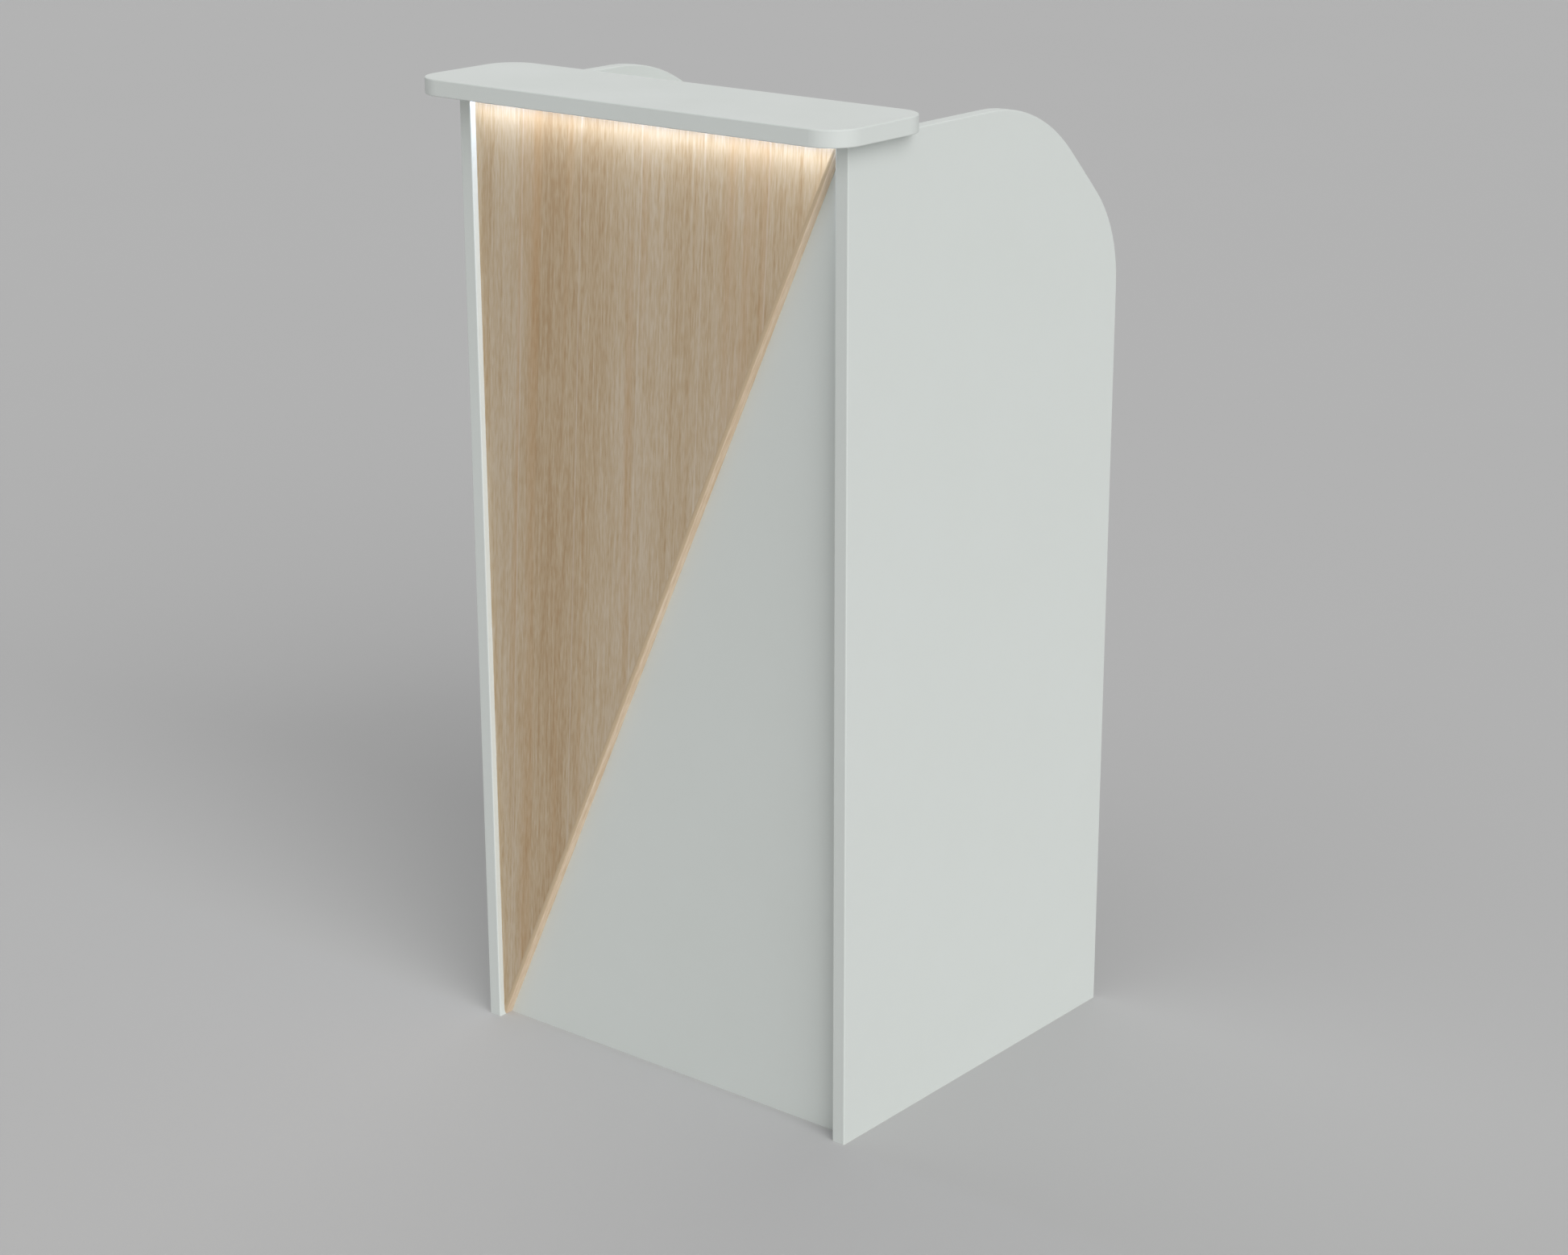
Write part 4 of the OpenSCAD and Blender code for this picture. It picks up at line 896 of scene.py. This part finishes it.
class LECTERN_OT_boards(bpy.types.Operator):
    """Lacquers the side panels, front panel, ledge, desk, rail, shelves and plinth"""

    bl_idname = "lectern.boards"
    bl_label = "Pale boards"

    def execute(self, context):
        finish_nodes(
            satin_lacquer(context.scene.lectern_finishes),
            "left_side_panel", "right_side_panel", "front_panel", "top_ledge", "reading_desk", "apron_rail",
            "adjustable_shelf", "bottom_shelf", "plinth_board"
        )
        return {"FINISHED"}


class LECTERN_OT_oak(bpy.types.Operator):
    """Veneers the oak front, its edge band and the paper stop"""

    bl_idname = "lectern.oak"
    bl_label = "Oak front and paper stop"

    def execute(self, context):
        look = context.scene.lectern_finishes
        grain = context.scene.lectern_grain
        low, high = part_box("oak_facing")
        diagonal = math.atan2(high.x - low.x, high.z - low.z)
        tones = (look.oak_light, look.oak_mid, look.oak_dark, look.oak_streak)
        # the band's diagonal edge is painted paler than the oak front, as painted light for the light that edge
        # catches; its front face keeps the oak's middle tone
        middle = halfway(look.band_pale_with_painted_light, look.band_dark_with_painted_light)
        band_tones_with_painted_light = (look.band_pale_with_painted_light, middle, look.band_dark_with_painted_light, look.band_dark_with_painted_light)
        finish_nodes(
            oak("rift_oak_veneer", tones, (0.0, -grain.lean, 0.0), (grain.leaf_w, grain.leaf_start), 0.4 * MM),
            "oak_facing"
        )
        finish_nodes(
            oak("oak_edge_band", band_tones_with_painted_light, (0.0, -diagonal, 0.0), UNJOINTED, 0.6 * MM, (low.y, look.oak_mid)),
            "oak_edge_band"
        )
        finish_nodes(oak("solid_oak_stop", tones, (0.0, math.pi / 2, 0.0), UNJOINTED, 0.4 * MM), "paper_stop")
        return {"FINISHED"}


class LECTERN_OT_light(bpy.types.Operator):
    """Finishes the profile, end caps, tape and lit diffuser under the ledge, and lights the oak"""

    bl_idname = "lectern.light"
    bl_label = "Light under the ledge"

    def execute(self, context):
        look = context.scene.lectern_finishes
        studio = context.scene.lectern_studio
        finish_nodes(anodised_aluminium(look), "led_profile", "led_end_caps")
        finish_nodes(tape_mask(look), "led_tape")
        finish_nodes(opal_diffuser(look, studio), "led_diffuser")
        # the tape lights the oak in two ways: a wide wash by the ledge, and a beam that the floor doesn't get
        low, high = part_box("led_diffuser")
        middle = (low + high) / 2
        beam_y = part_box("oak_facing")[0].y - studio.beam_out
        unlit = bpy.data.collections.new("out_of_the_beam")
        unlit.objects.link(bpy.data.objects["studio_floor"])
        unlit.collection_objects[0].light_linking.link_state = "EXCLUDE"
        for name, tint, power, spread, y, keeps_off in (
            ("ledge_wash", studio.wash, studio.wash_power, studio.wash_spread, middle.y, None),
            ("ledge_beam", studio.beam, studio.beam_power, studio.beam_spread, beam_y, unlit),
        ):
            strip = bpy.data.lights.new(name, "AREA")
            strip.shape = "RECTANGLE"
            strip.size = high.x - low.x
            strip.size_y = studio.strip_w
            strip.spread = spread
            strip.energy = power
            strip.color = tint
            lamp = bpy.data.objects.new(name, strip)
            lamp.location = (middle.x, y, low.z - studio.strip_drop)
            lamp.visible_camera = False
            lamp.light_linking.receiver_collection = keeps_off
            context.scene.collection.objects.link(lamp)
        return {"FINISHED"}


class LECTERN_OT_fittings(bpy.types.Operator):
    """Finishes zinc fittings, dowels and cleats, and drives the cross recess screws"""

    bl_idname = "lectern.fittings"
    bl_label = "Fittings and screws"

    def execute(self, context):
        look = context.scene.lectern_finishes
        size = context.scene.lectern_screws
        zinc = zinc_plate(look)
        finish_nodes(
            zinc, "ledge_brackets", "shelf_pins", "cam_locks", "cam_bolts", "switch_terminals", "inlet_pins"
        )
        finish_nodes(planed_beech(look), "ledge_dowels", "desk_cleats")
        values = {**named(size), "Length": 0.0, "Finish": zinc}
        tree = screw_tree(values)
        for node in ("bracket_screws", "facing_screws", "cleat_screws", "driver_screws", "foot_bracket_screws"):
            points, axes, lengths = zip(*screw_seats(node, size.drum_h + size.crown_h))
            piece = grown(node + "_cross_recess", tree, {**values, "Length": lengths[0]}, points, axes)
            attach(piece, "carcass")
            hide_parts(node)
        return {"FINISHED"}


class LECTERN_OT_feet(bpy.types.Operator):
    """Turns the four levelling feet with their threads, and finishes their brackets"""

    bl_idname = "lectern.feet"
    bl_label = "Levelling feet"

    def execute(self, context):
        tint = context.scene.lectern_finishes.plastic
        nylon = moulded_plastic("moulded_black_nylon", tint, roughness=0.5, grit=0.9 * MM, depth=0.06 * MM)
        finish_nodes(nylon, "foot_brackets")
        values = {**named(context.scene.lectern_feet), "Finish": nylon}
        tree = foot_tree(values)
        for node in sorted(n for n in NODES if n.startswith("levelling_foot")):
            low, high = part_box(node)
            middle = (low + high) / 2
            piece = grown(node + "_threaded", tree, values, [(middle.x, middle.y, low.z)])
            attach(piece, node)
            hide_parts(node)
        return {"FINISHED"}


class LECTERN_OT_switch(bpy.types.Operator):
    """Finishes the rocker switch and prints its on and off marks"""

    bl_idname = "lectern.switch"
    bl_label = "Rocker switch"

    def execute(self, context):
        look = context.scene.lectern_finishes
        black = look.plastic
        housing = moulded_plastic("moulded_black_switch", black, roughness=0.42, grit=0.8 * MM, depth=0.04 * MM)
        rocker = moulded_plastic("polished_black_rocker", black, roughness=0.2, grit=4 * MM, depth=0.02 * MM)
        ink = moulded_plastic("printed_white_ink", look.ink, roughness=0.5, grit=0.4 * MM, depth=0.02 * MM)
        finish_nodes(housing, "switch_housing")
        finish_nodes(rocker, "switch_rocker")
        marks = rocker_marks(context.scene.lectern_marks)
        marks.data.materials.append(ink)
        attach(marks, "rocker")
        return {"FINISHED"}


class LECTERN_OT_grommet(bpy.types.Operator):
    """Finishes the cable grommet and its turning cap"""

    bl_idname = "lectern.grommet"
    bl_label = "Cable grommet"

    def execute(self, context):
        tint = context.scene.lectern_finishes.plastic
        shell = moulded_plastic("moulded_black_grommet", tint, roughness=0.48, grit=1 * MM, depth=0.06 * MM)
        finish_nodes(shell, "cable_grommet", "grommet_cap")
        return {"FINISHED"}


class LECTERN_OT_supply(bpy.types.Operator):
    """Finishes the driver, the leads and their clips, and adds the driver's cooling ribs"""

    bl_idname = "lectern.supply"
    bl_label = "Driver and leads"

    def execute(self, context):
        look = context.scene.lectern_finishes
        size = context.scene.lectern_ribs
        black, pale = look.plastic, look.sheath
        case = moulded_plastic("moulded_black_case", black, roughness=0.55, grit=1.1 * MM, depth=0.08 * MM)
        sheath = moulded_plastic("soft_lead_sheath", pale, roughness=0.5, grit=1.2 * MM, depth=0.02 * MM)
        finish_nodes(case, "led_driver", "lead_clips")
        finish_nodes(sheath, "led_lead", "switch_lead")
        low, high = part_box("led_driver")
        row_l = (size.count - 1) * size.pitch
        start = ((low.x + high.x - row_l) / 2, high.y, low.z + size.margin)
        values = {
            "Rib count": size.count, "Rib pitch": size.pitch, "Rib radius": size.radius,
            "Rib length": high.z - low.z - 2 * size.margin, "Finish": case
        }
        piece = grown("driver_cooling_ribs", rib_tree(values), values, [start])
        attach(piece, "carcass")
        return {"FINISHED"}


OPERATORS = (
    LECTERN_OT_stage, LECTERN_OT_boards, LECTERN_OT_oak, LECTERN_OT_light, LECTERN_OT_fittings,
    LECTERN_OT_feet, LECTERN_OT_switch, LECTERN_OT_grommet, LECTERN_OT_supply
)
GROUPS = {
    "lectern_finishes": LecternFinishes,
    "lectern_grain": LecternGrain,
    "lectern_screws": LecternScrews,
    "lectern_feet": LecternFeet,
    "lectern_marks": LecternMarks,
    "lectern_ribs": LecternRibs,
    "lectern_studio": LecternStudio,
}


class LECTERN_PT_panel(bpy.types.Panel):
    """Sizes, colours and steps of the lectern"""

    bl_idname = "LECTERN_PT_panel"
    bl_label = "Lectern"
    bl_space_type = "VIEW_3D"
    bl_region_type = "UI"
    bl_category = "Lectern"

    def draw(self, context):
        for name, group in GROUPS.items():
            box = self.layout.box()
            box.label(text=group.bl_rna.name)
            values = getattr(context.scene, name)
            for key in group.__annotations__:
                box.prop(values, key)
        for operator in OPERATORS:
            self.layout.operator(operator.bl_idname)


CLASSES = (*GROUPS.values(), *OPERATORS, LECTERN_PT_panel)


def register():
    for cls in CLASSES:
        bpy.utils.register_class(cls)
    for name, group in GROUPS.items():
        setattr(bpy.types.Scene, name, PointerProperty(type=group))


def unregister():
    for name in GROUPS:
        delattr(bpy.types.Scene, name)
    for cls in reversed(CLASSES):
        bpy.utils.unregister_class(cls)


def main():
    register()
    bpy.ops.lectern.stage()
    bpy.ops.lectern.boards()
    bpy.ops.lectern.oak()
    bpy.ops.lectern.light()
    bpy.ops.lectern.fittings()
    bpy.ops.lectern.feet()
    bpy.ops.lectern.switch()
    bpy.ops.lectern.grommet()
    bpy.ops.lectern.supply()


if __name__ == "__main__":
    main()
